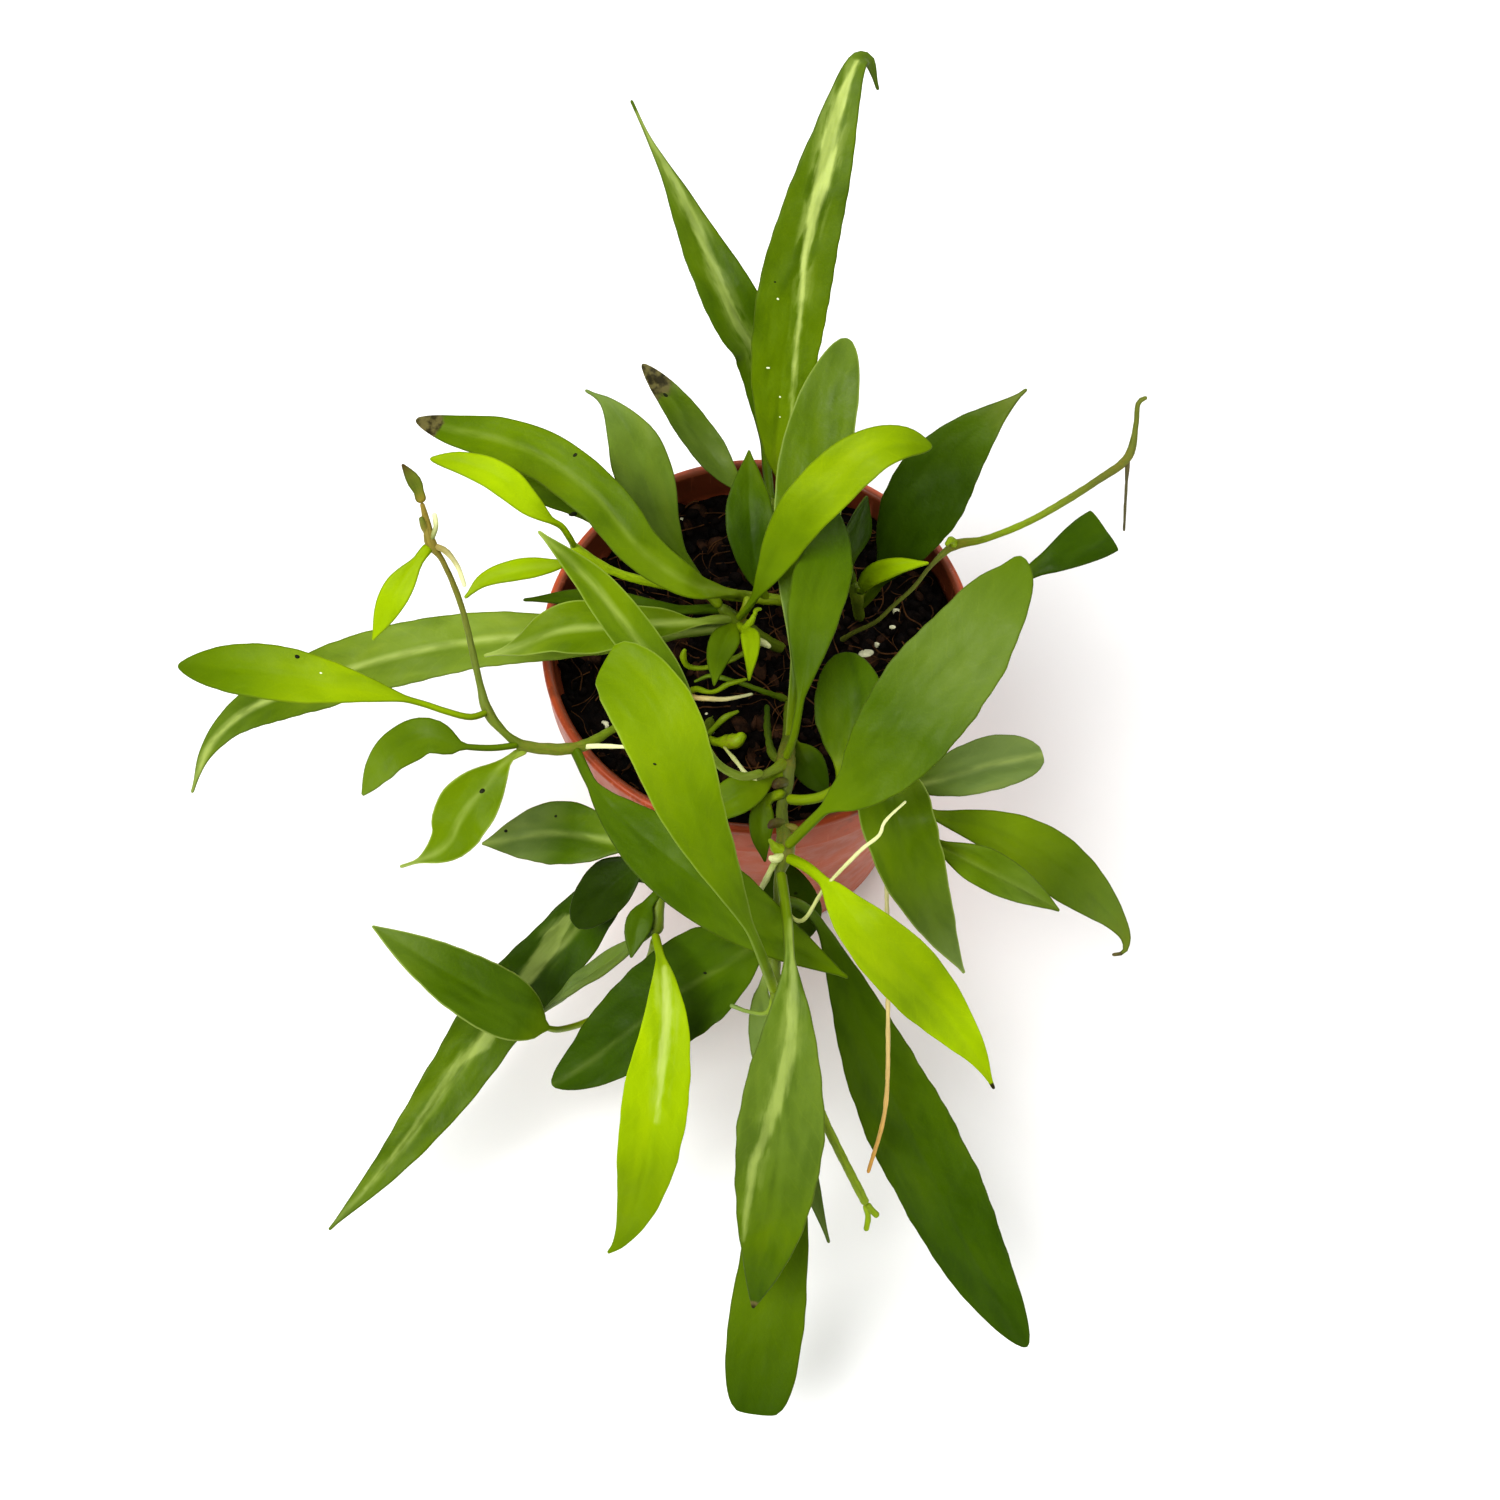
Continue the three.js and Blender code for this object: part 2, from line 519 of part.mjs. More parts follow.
const leaves = [
  // Back of the pot
  {
    name: 'leaf_back_tall',
    stem: 'stem_back',
    colour: STRIPED,
    rib: [
      [781, 516, 81], [783, 490, 85], [777, 450, 93], [793, 300, 119], [828, 160, 141],
      [858, 62, 153], [868, 60, 151], [878, 90, 144],
    ],
    width: 15,
    petiole: 0.06,
    widest: 0.38,
    baseTaper: 0.9,
    tipTaper: 1.05,
    fold: 10,
  },
  {
    name: 'leaf_back_left_striped',
    stem: 'stem_back',
    colour: STRIPED,
    rib: [
      [771, 505, 84], [766, 455, 82.5], [764, 400, 90], [758, 351, 98.5], [742, 324, 104],
      [725, 291, 109], [701, 245, 114], [670, 179, 122], [649, 139, 127], [631, 100, 132],
    ],
    width: 12,
    widest: 0.4,
    tipTaper: 1.9,
    fold: 14,
  },
  {
    name: 'leaf_back_withered',
    stem: 'stem_back',
    colour: GREY,
    rib: [[767, 499, 86], [737, 485, 93], [699, 438, 99], [668, 396, 105], [642, 364, 108]],
    width: 8,
    tipTaper: 0.6,
    fold: 24,
  },
  {
    name: 'leaf_back_short',
    stem: 'stem_upper_left',
    colour: DARK,
    rib: [[766, 599, 85], [756, 578, 93], [752, 545, 98], [749, 505, 102], [749, 450, 106]],
    width: 10,
    widest: 0.5,
    fold: 10,
  },
  {
    name: 'leaf_back_broad_grey',
    stem: 'stem_front',
    colour: GREY,
    rib: [
      [790, 742, 86], [793, 700, 94], [797, 640, 100], [801, 572, 106], [812, 480, 113],
      [825, 415, 118], [838, 370, 122], [847, 338, 124],
    ],
    width: 14.5,
    petiole: 0.15,
    widest: 0.62,
    tipTaper: 0.5,
    fold: 8,
  },
  {
    name: 'leaf_back_lime',
    stem: 'stem_centre',
    colour: LIME,
    rib: [
      [738, 619, 89], [752, 602, 100], [772, 566, 113], [798, 520, 124], [832, 483, 131],
      [868, 454, 136], [901, 443, 137], [932, 447, 134],
    ],
    width: 11,
    petiole: 0.14,
    stalk: 0.75,
    widest: 0.62,
    tipTaper: 0.6,
    fold: 10,
  },
  {
    name: 'leaf_back_right_dark',
    stem: 'stem_right_centre',
    colour: DARK,
    rib: [
      [860, 606, 77], [873, 592, 82], [893, 560, 90], [918, 512, 100], [952, 460, 109],
      [987, 423, 116], [1027, 389, 122],
    ],
    width: 16.5,
    petiole: 0.1,
    tipTaper: 1.3,
    fold: 8,
  },
  {
    name: 'leaf_back_right_edge_on',
    stem: 'stem_right_centre',
    colour: GREY,
    rib: [[852, 582, 89], [849, 560, 97], [856, 525, 105], [867, 496, 111]],
    width: 12,
    roll: [50, 74],
    fold: 5,
  },
  {
    name: 'leaf_right_small_lime',
    stem: 'stem_right_centre',
    colour: LIME,
    rib: [[857, 591, 86], [862, 590, 91], [869, 578, 95], [895, 567, 99], [929, 563, 101]],
    width: 4.6,
    petiole: 0.14,
    stalk: 0.6,
    widest: 0.48,
    fold: 8,
  },
  // Middle of the pot
  {
    name: 'leaf_mid_bright',
    stem: 'stem_front',
    colour: MID,
    rib: [
      [786, 758, 95], [794, 735, 102], [802, 690, 108], [809, 645, 112], [817, 600, 114],
      [827, 560, 115], [838, 512, 115],
    ],
    width: 11.5,
    petiole: 0.22,
    stalk: 0.8,
    widest: 0.6,
    tipTaper: 0.8,
    fold: 10,
  },
  {
    name: 'leaf_mid_round_dark',
    stem: 'stem_front',
    colour: DARK,
    rib: [
      [787, 799, 93.1], [802, 800, 94.7], [820, 797, 95], [838, 786, 94], [849, 765, 94.5],
      [851, 735, 97], [849, 695, 100], [845, 652, 102],
    ],
    width: 14,
    petiole: 0.26,
    widest: 0.6,
    tipTaper: 0.45,
    fold: 6,
  },
  {
    name: 'leaf_centre_small_bright',
    stem: 'stem_front',
    colour: MID,
    rib: [[787, 770, 93], [762, 785, 93], [735, 797, 92], [695, 822, 87]],
    width: 8,
  },
  {
    name: 'leaf_centre_dark',
    stem: 'stem_front',
    colour: DARK,
    rib: [[789, 736, 84], [802, 756, 86], [815, 776, 84], [828, 795, 80]],
    width: 7,
  },
  {
    name: 'leaf_centre_narrow',
    stem: 'stem_front',
    colour: DARK,
    rib: [[784, 792, 93], [766, 802, 89], [761, 830, 86], [765, 862, 82]],
    width: 5,
  },
  // Right side
  {
    name: 'leaf_right_large',
    stem: 'stem_front',
    colour: MID,
    rib: [
      [787, 846, 96], [830, 805, 108], [858, 785, 114], [876, 766, 118], [911, 721, 125],
      [929, 696, 128], [966, 649, 133], [994, 607, 137], [1015, 576, 138], [1021, 556, 139],
    ],
    width: 19,
    petiole: 0.14,
    widest: 0.5,
    baseTaper: 1.05,
    tipTaper: 0.57,
    fold: 9,
  },
  {
    name: 'leaf_far_right_dark',
    stem: 'stem_right',
    colour: DARK,
    rib: [
      [884, 762, 87], [930, 690, 98], [985, 620, 108], [1029, 574, 115], [1057, 558, 118],
      [1106, 530, 118],
    ],
    width: 9.8,
    widest: 0.975,
    baseTaper: 12,
    tipTaper: 0,
    fold: 5,
  },
  {
    name: 'leaf_right_rounded',
    stem: 'stem_right',
    colour: GREY,
    rib: [[892, 782, 88], [912, 785, 88], [950, 777, 89], [1000, 763, 90], [1043, 755, 88]],
    width: 11.5,
    petiole: 0.08,
    widest: 0.6,
    baseTaper: 0.7,
    tipTaper: 0.45,
    fold: 18,
  },
  {
    name: 'leaf_right_hooked',
    stem: 'stem_right',
    colour: MID,
    rib: [
      [904, 803, 87], [940, 817, 79], [990, 831, 76], [1040, 855, 70], [1082, 887, 63],
      [1110, 914, 56], [1126, 938, 52], [1124, 952, 50], [1112, 955, 49],
    ],
    width: 12.5,
    petiole: 0.08,
    widest: 0.5,
    tipTaper: 1.4,
    fold: 10,
  },
  {
    name: 'leaf_right_folded',
    stem: 'stem_right',
    colour: DARK,
    rib: [
      [918, 827, 85], [932, 840, 84], [948, 851, 83], [985, 870, 82], [1020, 888, 80],
      [1047, 903, 77], [1059, 911, 75],
    ],
    width: 9,
    petiole: 0.08,
    fold: 24,
  },
  {
    name: 'leaf_right_front_dark',
    stem: 'stem_right',
    colour: DARK,
    rib: [
      [886, 765, 89], [890, 790, 96], [900, 830, 95], [917, 880, 86], [940, 930, 75],
      [964, 973, 64],
    ],
    width: 14.5,
    petiole: 0.05,
    widest: 0.25,
    baseTaper: 0.7,
    fold: 9,
  },
  // Front, over the rim
  {
    name: 'leaf_front_yellow',
    stem: 'stem_front',
    colour: YELLOW,
    rib: [
      [787, 857, 94], [808, 868, 97], [830, 888, 99], [845, 908, 98.5], [862, 928, 98],
      [911, 978, 92], [953, 1025, 84], [978, 1057, 79], [994, 1089, 74],
    ],
    width: 12.7,
    petiole: 0.15,
    widest: 0.45,
    baseTaper: 0.8,
    tipTaper: 1.2,
    fold: 10,
  },
  {
    name: 'leaf_front_longest',
    stem: 'stem_front',
    colour: DARK,
    rib: [
      [779, 900, 91], [800, 905, 86], [820, 925, 80], [842, 975, 72], [886, 1083, 58],
      [936, 1181, 46], [980, 1269, 36], [1027, 1347, 27],
    ],
    width: 17.3,
    petiole: 0.08,
    widest: 0.55,
    tipTaper: 0.58,
    fold: 8,
  },
  {
    name: 'leaf_front_striped',
    stem: 'stem_front',
    colour: STRIPED,
    rib: [
      [781, 873, 93], [788, 930, 98], [790, 1003, 94], [784, 1087, 84], [778, 1162, 73],
      [767, 1245, 59], [753, 1308, 47],
    ],
    width: 16.8,
    petiole: 0.18,
    widest: 0.5,
    tipTaper: 0.85,
    fold: 10,
  },
  {
    name: 'leaf_front_lowest',
    stem: 'stem_front',
    colour: MID,
    rib: [
      [775, 985, 83], [778, 1080, 66], [780, 1180, 52], [774, 1260, 41], [766, 1325, 32],
      [756, 1415.4, 21],
    ],
    width: 15.2,
    widest: 0.8,
    tipTaper: 0.22,
    fold: 6,
  },
  {
    name: 'leaf_front_narrow',
    stem: 'stem_front',
    colour: DARK,
    rib: [
      [776, 965, 85], [767, 978, 76], [762, 1002, 67], [770, 1050, 57], [797, 1140, 44],
      [829, 1243, 30],
    ],
    width: 8,
    widest: 0.35,
    fold: 12,
  },
  {
    name: 'leaf_front_round_dark',
    stem: 'stem_front',
    colour: DARK,
    rib: [[777, 946, 87], [790, 937, 79], [788, 903, 73], [779, 862, 69]],
    width: 13,
    tipTaper: 0.6,
  },
  {
    name: 'leaf_front_lime',
    stem: 'stem_front_left',
    colour: YELLOW,
    rib: [
      [655, 934, 74], [662, 966, 77], [665, 1001, 76.5], [665, 1030, 74], [662, 1058, 70.5],
      [657, 1090, 66], [653, 1122, 61], [648, 1153, 56], [642, 1185, 50], [635, 1210, 45],
      [626, 1231, 40], [617, 1245, 37], [608, 1253, 35],
    ],
    width: 13.2,
    petiole: 0.06,
    stalk: 0.8,
    widest: 0.48,
    baseTaper: 0.95,
    tipTaper: 0.88,
    fold: 10,
  },
  {
    name: 'leaf_front_large_bright',
    stem: 'stem_front',
    colour: MID,
    rib: [
      [774, 990, 84], [765, 965, 96], [755, 940, 104], [736, 900, 113], [707, 842, 122],
      [688, 800, 128], [674, 760, 133], [657, 720, 137], [638, 690, 139], [620, 672, 140],
      [603, 664, 140],
    ],
    width: 15.1,
    petiole: 0.2,
    widest: 0.8,
    baseTaper: 1.4,
    tipTaper: 0.22,
    fold: 6,
  },
  {
    name: 'leaf_front_mid_dark',
    stem: 'stem_left',
    colour: DARK,
    rib: [[574, 748, 98], [600, 796, 99], [680, 868, 98], [760, 926, 93], [848, 978, 86]],
    width: 14.5,
    petiole: 0.08,
    fold: 10,
  },
  // Left side
  {
    name: 'leaf_left_slender',
    stem: 'stem_front',
    colour: DARK,
    rib: [
      [762, 773, 96], [740, 776, 101], [716, 762, 105], [694, 722, 111], [668, 678, 117],
      [641, 645, 121], [616, 613, 125], [593, 584, 129], [565, 556, 133], [538, 531, 136],
    ],
    width: 8.3,
    petiole: 0.22,
    stalk: 0.8,
    widest: 0.55,
    fold: 12,
  },
  {
    name: 'leaf_left_long',
    stem: 'stem_centre',
    colour: DARK,
    rib: [
      [735, 627, 87], [650, 636, 90], [560, 638, 92], [480, 641, 91], [395, 657, 88],
      [300, 688, 78], [235, 720, 66], [205, 755, 58], [192, 793, 52],
    ],
    width: 13.3,
    petiole: 0.08,
    widest: 0.55,
    baseTaper: 0.6,
    tipTaper: 1.15,
    fold: 8,
  },
  {
    name: 'leaf_left_wavy',
    stem: 'stem_centre',
    colour: DARK,
    rib: [
      [731, 618, 90], [695, 622, 95], [640, 625, 99], [590, 628, 101], [552, 633, 101],
      [516, 648, 100], [484, 656, 98],
    ],
    width: 11,
    petiole: 0.1,
    widest: 0.6,
    tipTaper: 1.8,
    wave: 1,
    waves: 3,
  },
  {
    name: 'leaf_left_sliver',
    stem: 'stem_centre',
    colour: DARK,
    rib: [
      [725, 609, 91], [708, 609, 91], [690, 610, 92], [650, 609, 94], [610, 602, 95],
      [575, 598, 96], [523, 600, 97],
    ],
    width: 5,
  },
  {
    name: 'leaf_upper_left_big',
    stem: 'stem_upper_left',
    colour: DARK,
    rib: [
      [748, 597, 87], [725, 592, 97], [688, 583, 107], [644, 553, 113], [604, 504, 118],
      [548, 460, 120], [499, 440, 119], [455, 431, 117], [416, 420, 115],
    ],
    width: 10.6,
    petiole: 0.1,
    widest: 0.6,
    baseTaper: 0.7,
    tipTaper: 0.56,
    fold: 10,
  },
  {
    name: 'leaf_upper_left_under',
    stem: 'stem_upper_left',
    colour: DARK,
    rib: [
      [715, 592, 90], [690, 575, 88], [655, 548, 91], [622, 520, 95], [590, 503, 98],
      [555, 492, 101], [510, 479, 104], [480, 473, 105], [453, 469, 106],
    ],
    width: 8.6,
  },
  {
    name: 'leaf_upper_left_lime',
    stem: 'stem_upper_left',
    colour: LIME,
    rib: [
      [574, 546, 106.5], [569, 537, 112], [561, 526, 117], [549, 519, 121], [530, 505, 125],
      [507, 484, 128], [487, 472, 129], [460, 463, 129], [430, 459, 128],
    ],
    width: 6.4,
    petiole: 0.28,
    stalk: 0.65,
    widest: 0.5,
    baseTaper: 1.2,
    tipTaper: 0.65,
  },
  {
    name: 'leaf_upper_left_small_lime',
    stem: 'stem_upper_left',
    colour: LIME,
    rib: [[590, 558, 103], [562, 564, 108], [515, 571, 112], [485, 580, 110], [465, 598, 105]],
    width: 4.5,
    petiole: 0.16,
    stalk: 0.65,
  },
  {
    name: 'leaf_upper_bluish',
    stem: 'stem_centre',
    colour: DARK,
    rib: [
      [721, 607, 93], [706, 590, 94], [688, 563, 98], [662, 520, 104], [645, 478, 110],
      [628, 435, 116], [606, 403, 119], [585, 390, 120],
    ],
    width: 12,
    petiole: 0.2,
    widest: 0.55,
    tipTaper: 1.6,
    fold: 14,
  },
  {
    name: 'leaf_spray_lime',
    stem: 'stem_left',
    colour: LIME,
    rib: [[430, 545, 135], [410, 572, 132], [391, 602, 128], [373, 640, 120]],
    width: 5.8,
    petiole: 0.06,
  },
  {
    name: 'leaf_far_left_lime',
    stem: 'stem_left',
    colour: LIME,
    rib: [
      [488, 712, 108], [470, 717, 111], [445, 711, 113.5], [424, 704, 115], [380, 693, 118],
      [303, 679, 120], [240, 670, 120], [178, 666, 116],
    ],
    width: 11,
    petiole: 0.24,
    stalk: 0.6,
    widest: 0.6,
    tipTaper: 0.65,
  },
  {
    name: 'leaf_left_curled',
    stem: 'stem_left',
    colour: MID,
    rib: [
      [518, 745, 103], [490, 748, 106], [455, 745, 109], [429, 737, 110], [399, 749, 106],
      [379, 769, 99], [363, 795, 90],
    ],
    width: 8.3,
    petiole: 0.27,
    stalk: 0.6,
    widest: 0.35,
    baseTaper: 0.5,
    tipTaper: 0.8,
    fold: 10,
  },
  {
    name: 'leaf_left_wavy_small',
    stem: 'stem_left',
    colour: MID,
    rib: [
      [527, 749, 101], [512, 757, 100.5], [495, 775, 99.5], [473, 802, 97], [460, 821, 94],
      [450, 841, 91], [438, 852, 89], [421, 860, 87], [400, 867, 85],
    ],
    width: 12,
    petiole: 0.06,
    stalk: 0.8,
    widest: 0.45,
    tipTaper: 2.2,
    wave: 0.8,
    waves: 2.5,
  },
  {
    name: 'leaf_front_left_grey',
    stem: 'stem_front_left',
    colour: GREY,
    rib: [[666, 850, 80], [635, 846, 82], [600, 840, 80], [550, 834, 76], [482, 844, 68]],
    width: 13.5,
    fold: 10,
  },
  {
    name: 'leaf_front_left_deep_green',
    stem: 'stem_front_left',
    colour: DARK,
    rib: [[664, 859, 79], [640, 866, 76], [612, 885, 72], [574, 925, 63]],
    width: 11,
    tipTaper: 0.5,
  },
  {
    name: 'leaf_front_left_striped',
    stem: 'stem_front_left',
    colour: STRIPED,
    rib: [
      [661, 881, 77], [627, 879, 67], [597, 906, 58], [556, 954, 49], [500, 1012, 41],
      [455, 1078, 32], [395, 1158, 22], [329, 1230, 13],
    ],
    width: 14.2,
    petiole: 0.08,
    widest: 0.38,
    baseTaper: 0.5,
    tipTaper: 0.95,
  },
  {
    name: 'leaf_front_left_small',
    stem: 'stem_front_left',
    colour: DARK,
    rib: [[660, 892, 76.4], [648, 905, 76], [637, 930, 75], [631, 958, 73]],
    width: 5.5,
  },
  {
    name: 'leaf_front_left_edge_on',
    stem: 'stem_front_left',
    colour: GREY,
    rib: [[657, 924, 74], [630, 948, 67], [600, 970, 62], [570, 990, 57], [543, 1012, 50]],
    width: 8.5,
    roll: [40, 60],
  },
  {
    name: 'leaf_front_left_glossy',
    stem: 'stem_front_left',
    colour: DARK,
    rib: [
      [655, 940, 70], [648, 962, 58], [625, 996, 48], [594, 1018, 47], [567, 1028, 51],
      [548, 1028, 57], [517, 1013, 62], [455, 978, 67], [410, 950, 70], [372, 926, 71],
    ],
    width: 13.5,
    petiole: 0.54,
    stalk: 0.8,
    widest: 0.3,
    baseTaper: 0.5,
    tipTaper: 0.9,
  },
  {
    name: 'leaf_front_left_broad',
    stem: 'stem_front',
    colour: DARK,
    rib: [
      [778, 925, 89], [750, 950, 79], [700, 980, 68], [640, 1022, 58], [590, 1062, 50],
      [552, 1085, 45],
    ],
    width: 20,
    petiole: 0.08,
    widest: 0.35,
    baseTaper: 0.9,
    tipTaper: 0.6,
  },
];

// Assembly

function piece(name, solid, colour, roughness) {
  const material = new THREE.MeshStandardMaterial({ color: colour, roughness, metalness: 0 });
  const mesh = new THREE.Mesh(toGeometry(solid), material);
  mesh.name = name;
  return mesh;
}

const plant = new THREE.Group();
plant.add(piece('pot', pot(), TERRACOTTA, ROUGHNESS.pot));
const stemHoles = stems.map((stem) => stemSolid(stem, GAP));
plant.add(piece('soil', soil(stemHoles), SOIL_BROWN, ROUGHNESS.soil));
for (const stem of stems) {
  plant.add(piece(stem.name, stemSolid(stem), stem.colour, ROUGHNESS.stem));
}
for (const leaf of leaves) {
  const stem = stems.find((candidate) => candidate.name === leaf.stem);
  const blade = largestPiece(bladeSolid(leaf).subtract(stemSolid(stem, GAP)));
  plant.add(piece(leaf.name, blade, leaf.colour, ROUGHNESS.leaf));
}

export default plant;
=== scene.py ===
# %% [markdown]
# # A young hoya in its nursery pot
#
# On the real object a thin plastic pot holds dark potting mix, and nine stems grow out of it with
# 49 long fleshy leaves. A finished solid model of all of it, the frame, already exists: it has the
# right sizes and places, and plain surfaces. This lesson gives it the surfaces of a real plant.
#
# A frame can be dressed by painting its solids or by building a finer mesh in the place of each.
# Leaves seen close up need round edges, a midrib and soft undulation, so here every solid is
# rebuilt. We keep the frame's box, because nothing that we add may stick out of it.

# %% Load the frame
import math
import random

import bmesh
import bpy
import numpy as np
from mathutils import Matrix, Vector, noise


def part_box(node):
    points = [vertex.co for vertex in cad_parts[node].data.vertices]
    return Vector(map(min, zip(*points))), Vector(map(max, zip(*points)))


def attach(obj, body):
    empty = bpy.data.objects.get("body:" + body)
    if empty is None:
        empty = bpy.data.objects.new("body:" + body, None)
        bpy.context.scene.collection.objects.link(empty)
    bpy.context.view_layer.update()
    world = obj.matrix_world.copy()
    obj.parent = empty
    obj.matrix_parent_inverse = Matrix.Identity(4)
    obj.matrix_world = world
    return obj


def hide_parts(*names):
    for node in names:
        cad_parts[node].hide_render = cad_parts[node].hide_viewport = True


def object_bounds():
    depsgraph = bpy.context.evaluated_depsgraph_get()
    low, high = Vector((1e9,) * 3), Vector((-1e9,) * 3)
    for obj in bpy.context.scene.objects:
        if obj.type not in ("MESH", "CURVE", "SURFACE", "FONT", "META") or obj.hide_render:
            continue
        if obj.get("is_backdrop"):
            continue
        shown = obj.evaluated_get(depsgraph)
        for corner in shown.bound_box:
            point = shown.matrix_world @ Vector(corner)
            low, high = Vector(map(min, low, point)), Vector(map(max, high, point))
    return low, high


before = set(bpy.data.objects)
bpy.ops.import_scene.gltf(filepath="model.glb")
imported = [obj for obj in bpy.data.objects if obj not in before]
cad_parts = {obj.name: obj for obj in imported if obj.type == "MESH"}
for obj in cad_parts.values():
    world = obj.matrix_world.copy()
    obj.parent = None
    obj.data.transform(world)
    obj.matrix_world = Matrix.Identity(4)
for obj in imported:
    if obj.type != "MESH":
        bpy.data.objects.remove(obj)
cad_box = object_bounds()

MM = 0.001
print("the frame has", len(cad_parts), "solids in the box", [list(corner) for corner in cad_box])

# %% [markdown]
# ## The camera
#
# The plant is seen from in front and well above, at about arm's length. A camera can be placed by
# eye or worked out. This one was worked out from the pot: its rim is a circle of known size, and the
# ellipse that it makes in the picture gave the height, the distance and the scale of the view, which
# are given here as numbers.

# %% Camera
VIEW_ELEVATION = math.radians(61.7)
VIEW_DISTANCE = 560
VIEW_SCALE = 4.927
PICTURE_WIDTH = 1500
SENSOR_WIDTH = 36
VIEW_AIM = np.array([-1.7, -26.4, 78.0])
RIGHT = np.array([1.0, 0.0, 0.0])
FORWARD = np.array([0.0, math.cos(VIEW_ELEVATION), -math.sin(VIEW_ELEVATION)])
UPWARD = np.array([0.0, math.sin(VIEW_ELEVATION), math.cos(VIEW_ELEVATION)])
EYE = VIEW_AIM - VIEW_DISTANCE * FORWARD
FOCAL = VIEW_DISTANCE * VIEW_SCALE

camera = bpy.data.objects.new("camera", bpy.data.cameras.new("camera"))
bpy.context.scene.collection.objects.link(camera)
camera.data.sensor_width = SENSOR_WIDTH
camera.data.lens = SENSOR_WIDTH * FOCAL / PICTURE_WIDTH
turned = Matrix(np.column_stack([RIGHT, UPWARD, -FORWARD]).tolist()).to_4x4()
camera.matrix_world = Matrix.Translation(Vector(EYE * MM)) @ turned
bpy.context.scene.camera = camera
print(f"a {camera.data.lens:.1f} mm lens looks down at {math.degrees(VIEW_ELEVATION):.1f} degrees")

# %% [markdown]
# ## Points of the picture
#
# A leaf is easiest to describe as it is seen: this far across the picture, this far down, and this
# high above the floor. The camera turns those three numbers into a place. The rest of the lesson
# works in millimetres, and changes to Blender's metres only when a mesh is made.

# %% From the picture to a place
POT_RIM_SEEN = (758, 647, 78)


def seen(points):
    """Places in millimetres, from a column, a row and a height above the floor for each."""
    column, row, height = np.asarray(points, float)[:, :3].T
    across = np.outer((column - PICTURE_WIDTH / 2) / FOCAL, RIGHT)
    down = np.outer((row - PICTURE_WIDTH / 2) / FOCAL, UPWARD)
    ray = FORWARD + across - down
    return EYE + ray * ((height - EYE[2]) / ray[:, 2])[:, None]


pot_middle = seen([POT_RIM_SEEN])[0]
print("the middle of the pot's rim lies at", np.round(pot_middle, 1), "millimetres")

# %% [markdown]
# ## Smooth lines
#
# Stems and midribs bend gently, so a few listed points are enough if the line between them
# is smooth. A Catmull-Rom line goes through all its points, which a Bezier curve's handles or a
# subdivided chain would not do so simply. Its centripetal form never loops or overshoots.

# %% Smooth lines
FINE_STEPS = 30
EXAMPLE_MIDRIB = [(787, 846, 96), (881, 760, 119), (1026, 556, 139)]


def unit(vectors):
    return vectors / np.linalg.norm(vectors, axis=-1, keepdims=True)


def mix(start, end, share):
    return start + (end - start) * share


def smooth(value, low, high):
    share = np.clip((value - low) / (high - low), 0, 1)
    return share * share * (3 - 2 * share)


class Line:
    """A smooth line through points, measured along its length."""

    def __init__(self, points):
        ends = 2 * points[[0, -1]] - points[[1, -2]]
        knots = np.vstack([ends[:1], points, ends[1:]])
        gaps = np.sqrt(np.linalg.norm(np.diff(knots, axis=0), axis=1))
        share = np.linspace(0, 1, FINE_STEPS, endpoint=False)[:, None]
        fine = []
        for span in range(len(points) - 1):
            p0, p1, p2, p3 = knots[span:span + 4]
            g0, g1, g2 = gaps[span:span + 3]
            leave = g1 * ((p1 - p0) / g0 - (p2 - p0) / (g0 + g1)) + p2 - p1
            arrive = g1 * ((p3 - p2) / g2 - (p3 - p1) / (g1 + g2)) + p2 - p1
            bend = 3 * (p2 - p1) - 2 * leave - arrive
            fine.append(p1 + share * (leave + share * (bend + share * (2 * (p1 - p2) + leave + arrive))))
        self.fine = np.vstack([*fine, points[-1:]])
        self.place = np.arange(len(self.fine)) / FINE_STEPS
        steps = np.linalg.norm(np.diff(self.fine, axis=0), axis=1)
        self.walked = np.concatenate([[0], np.cumsum(steps)])
        self.length = self.walked[-1]
        self.heading = unit(np.gradient(self.fine, self.walked, axis=0))

    def at(self, distance):
        """Points, directions and the control points passed, at distances along the line."""
        point = [np.interp(distance, self.walked, axis) for axis in self.fine.T]
        heading = [np.interp(distance, self.walked, axis) for axis in self.heading.T]
        place = np.interp(distance, self.walked, self.place)
        return np.stack(point, 1), unit(np.stack(heading, 1)), place


example = Line(seen(EXAMPLE_MIDRIB))
print(f"a midrib through three points is {example.length:.0f} mm long")

# %% [markdown]
# ## Skins
#
# Leaves and stems are both long bodies, so both can be lofted: a row of rings is placed along the
# line, and each ring is joined to the next by quads. A curve with a bevel would be quicker for a
# round stem, but it can't make a blade, and it can't carry what we want to know at each point.
# Those facts, such as the distance from the midrib, are stored on the mesh for the materials.

# %% Skins over rings
END_SHARES = np.array([0.03, 0.16, 0.36, 0.62, 1.0])
FEWEST_SPANS = 6


def stations(length, step, first, last):
    """Distances along a body that crowd together where its two ends close."""
    spans = max(FEWEST_SPANS, round((length - first - last) / step))
    middle = np.linspace(first, length - last, spans + 1)
    return np.concatenate([END_SHARES[:-1] * first, middle, length - END_SHARES[-2::-1] * last])


def closing(distance, length, first, last):
    """How far a body is open, from 0 at its round ends to 1 along its middle."""
    share = np.minimum(np.minimum(distance / first, (length - distance) / last), 1)
    return np.sqrt(np.maximum(1 - (1 - share) ** 2, 0.0))


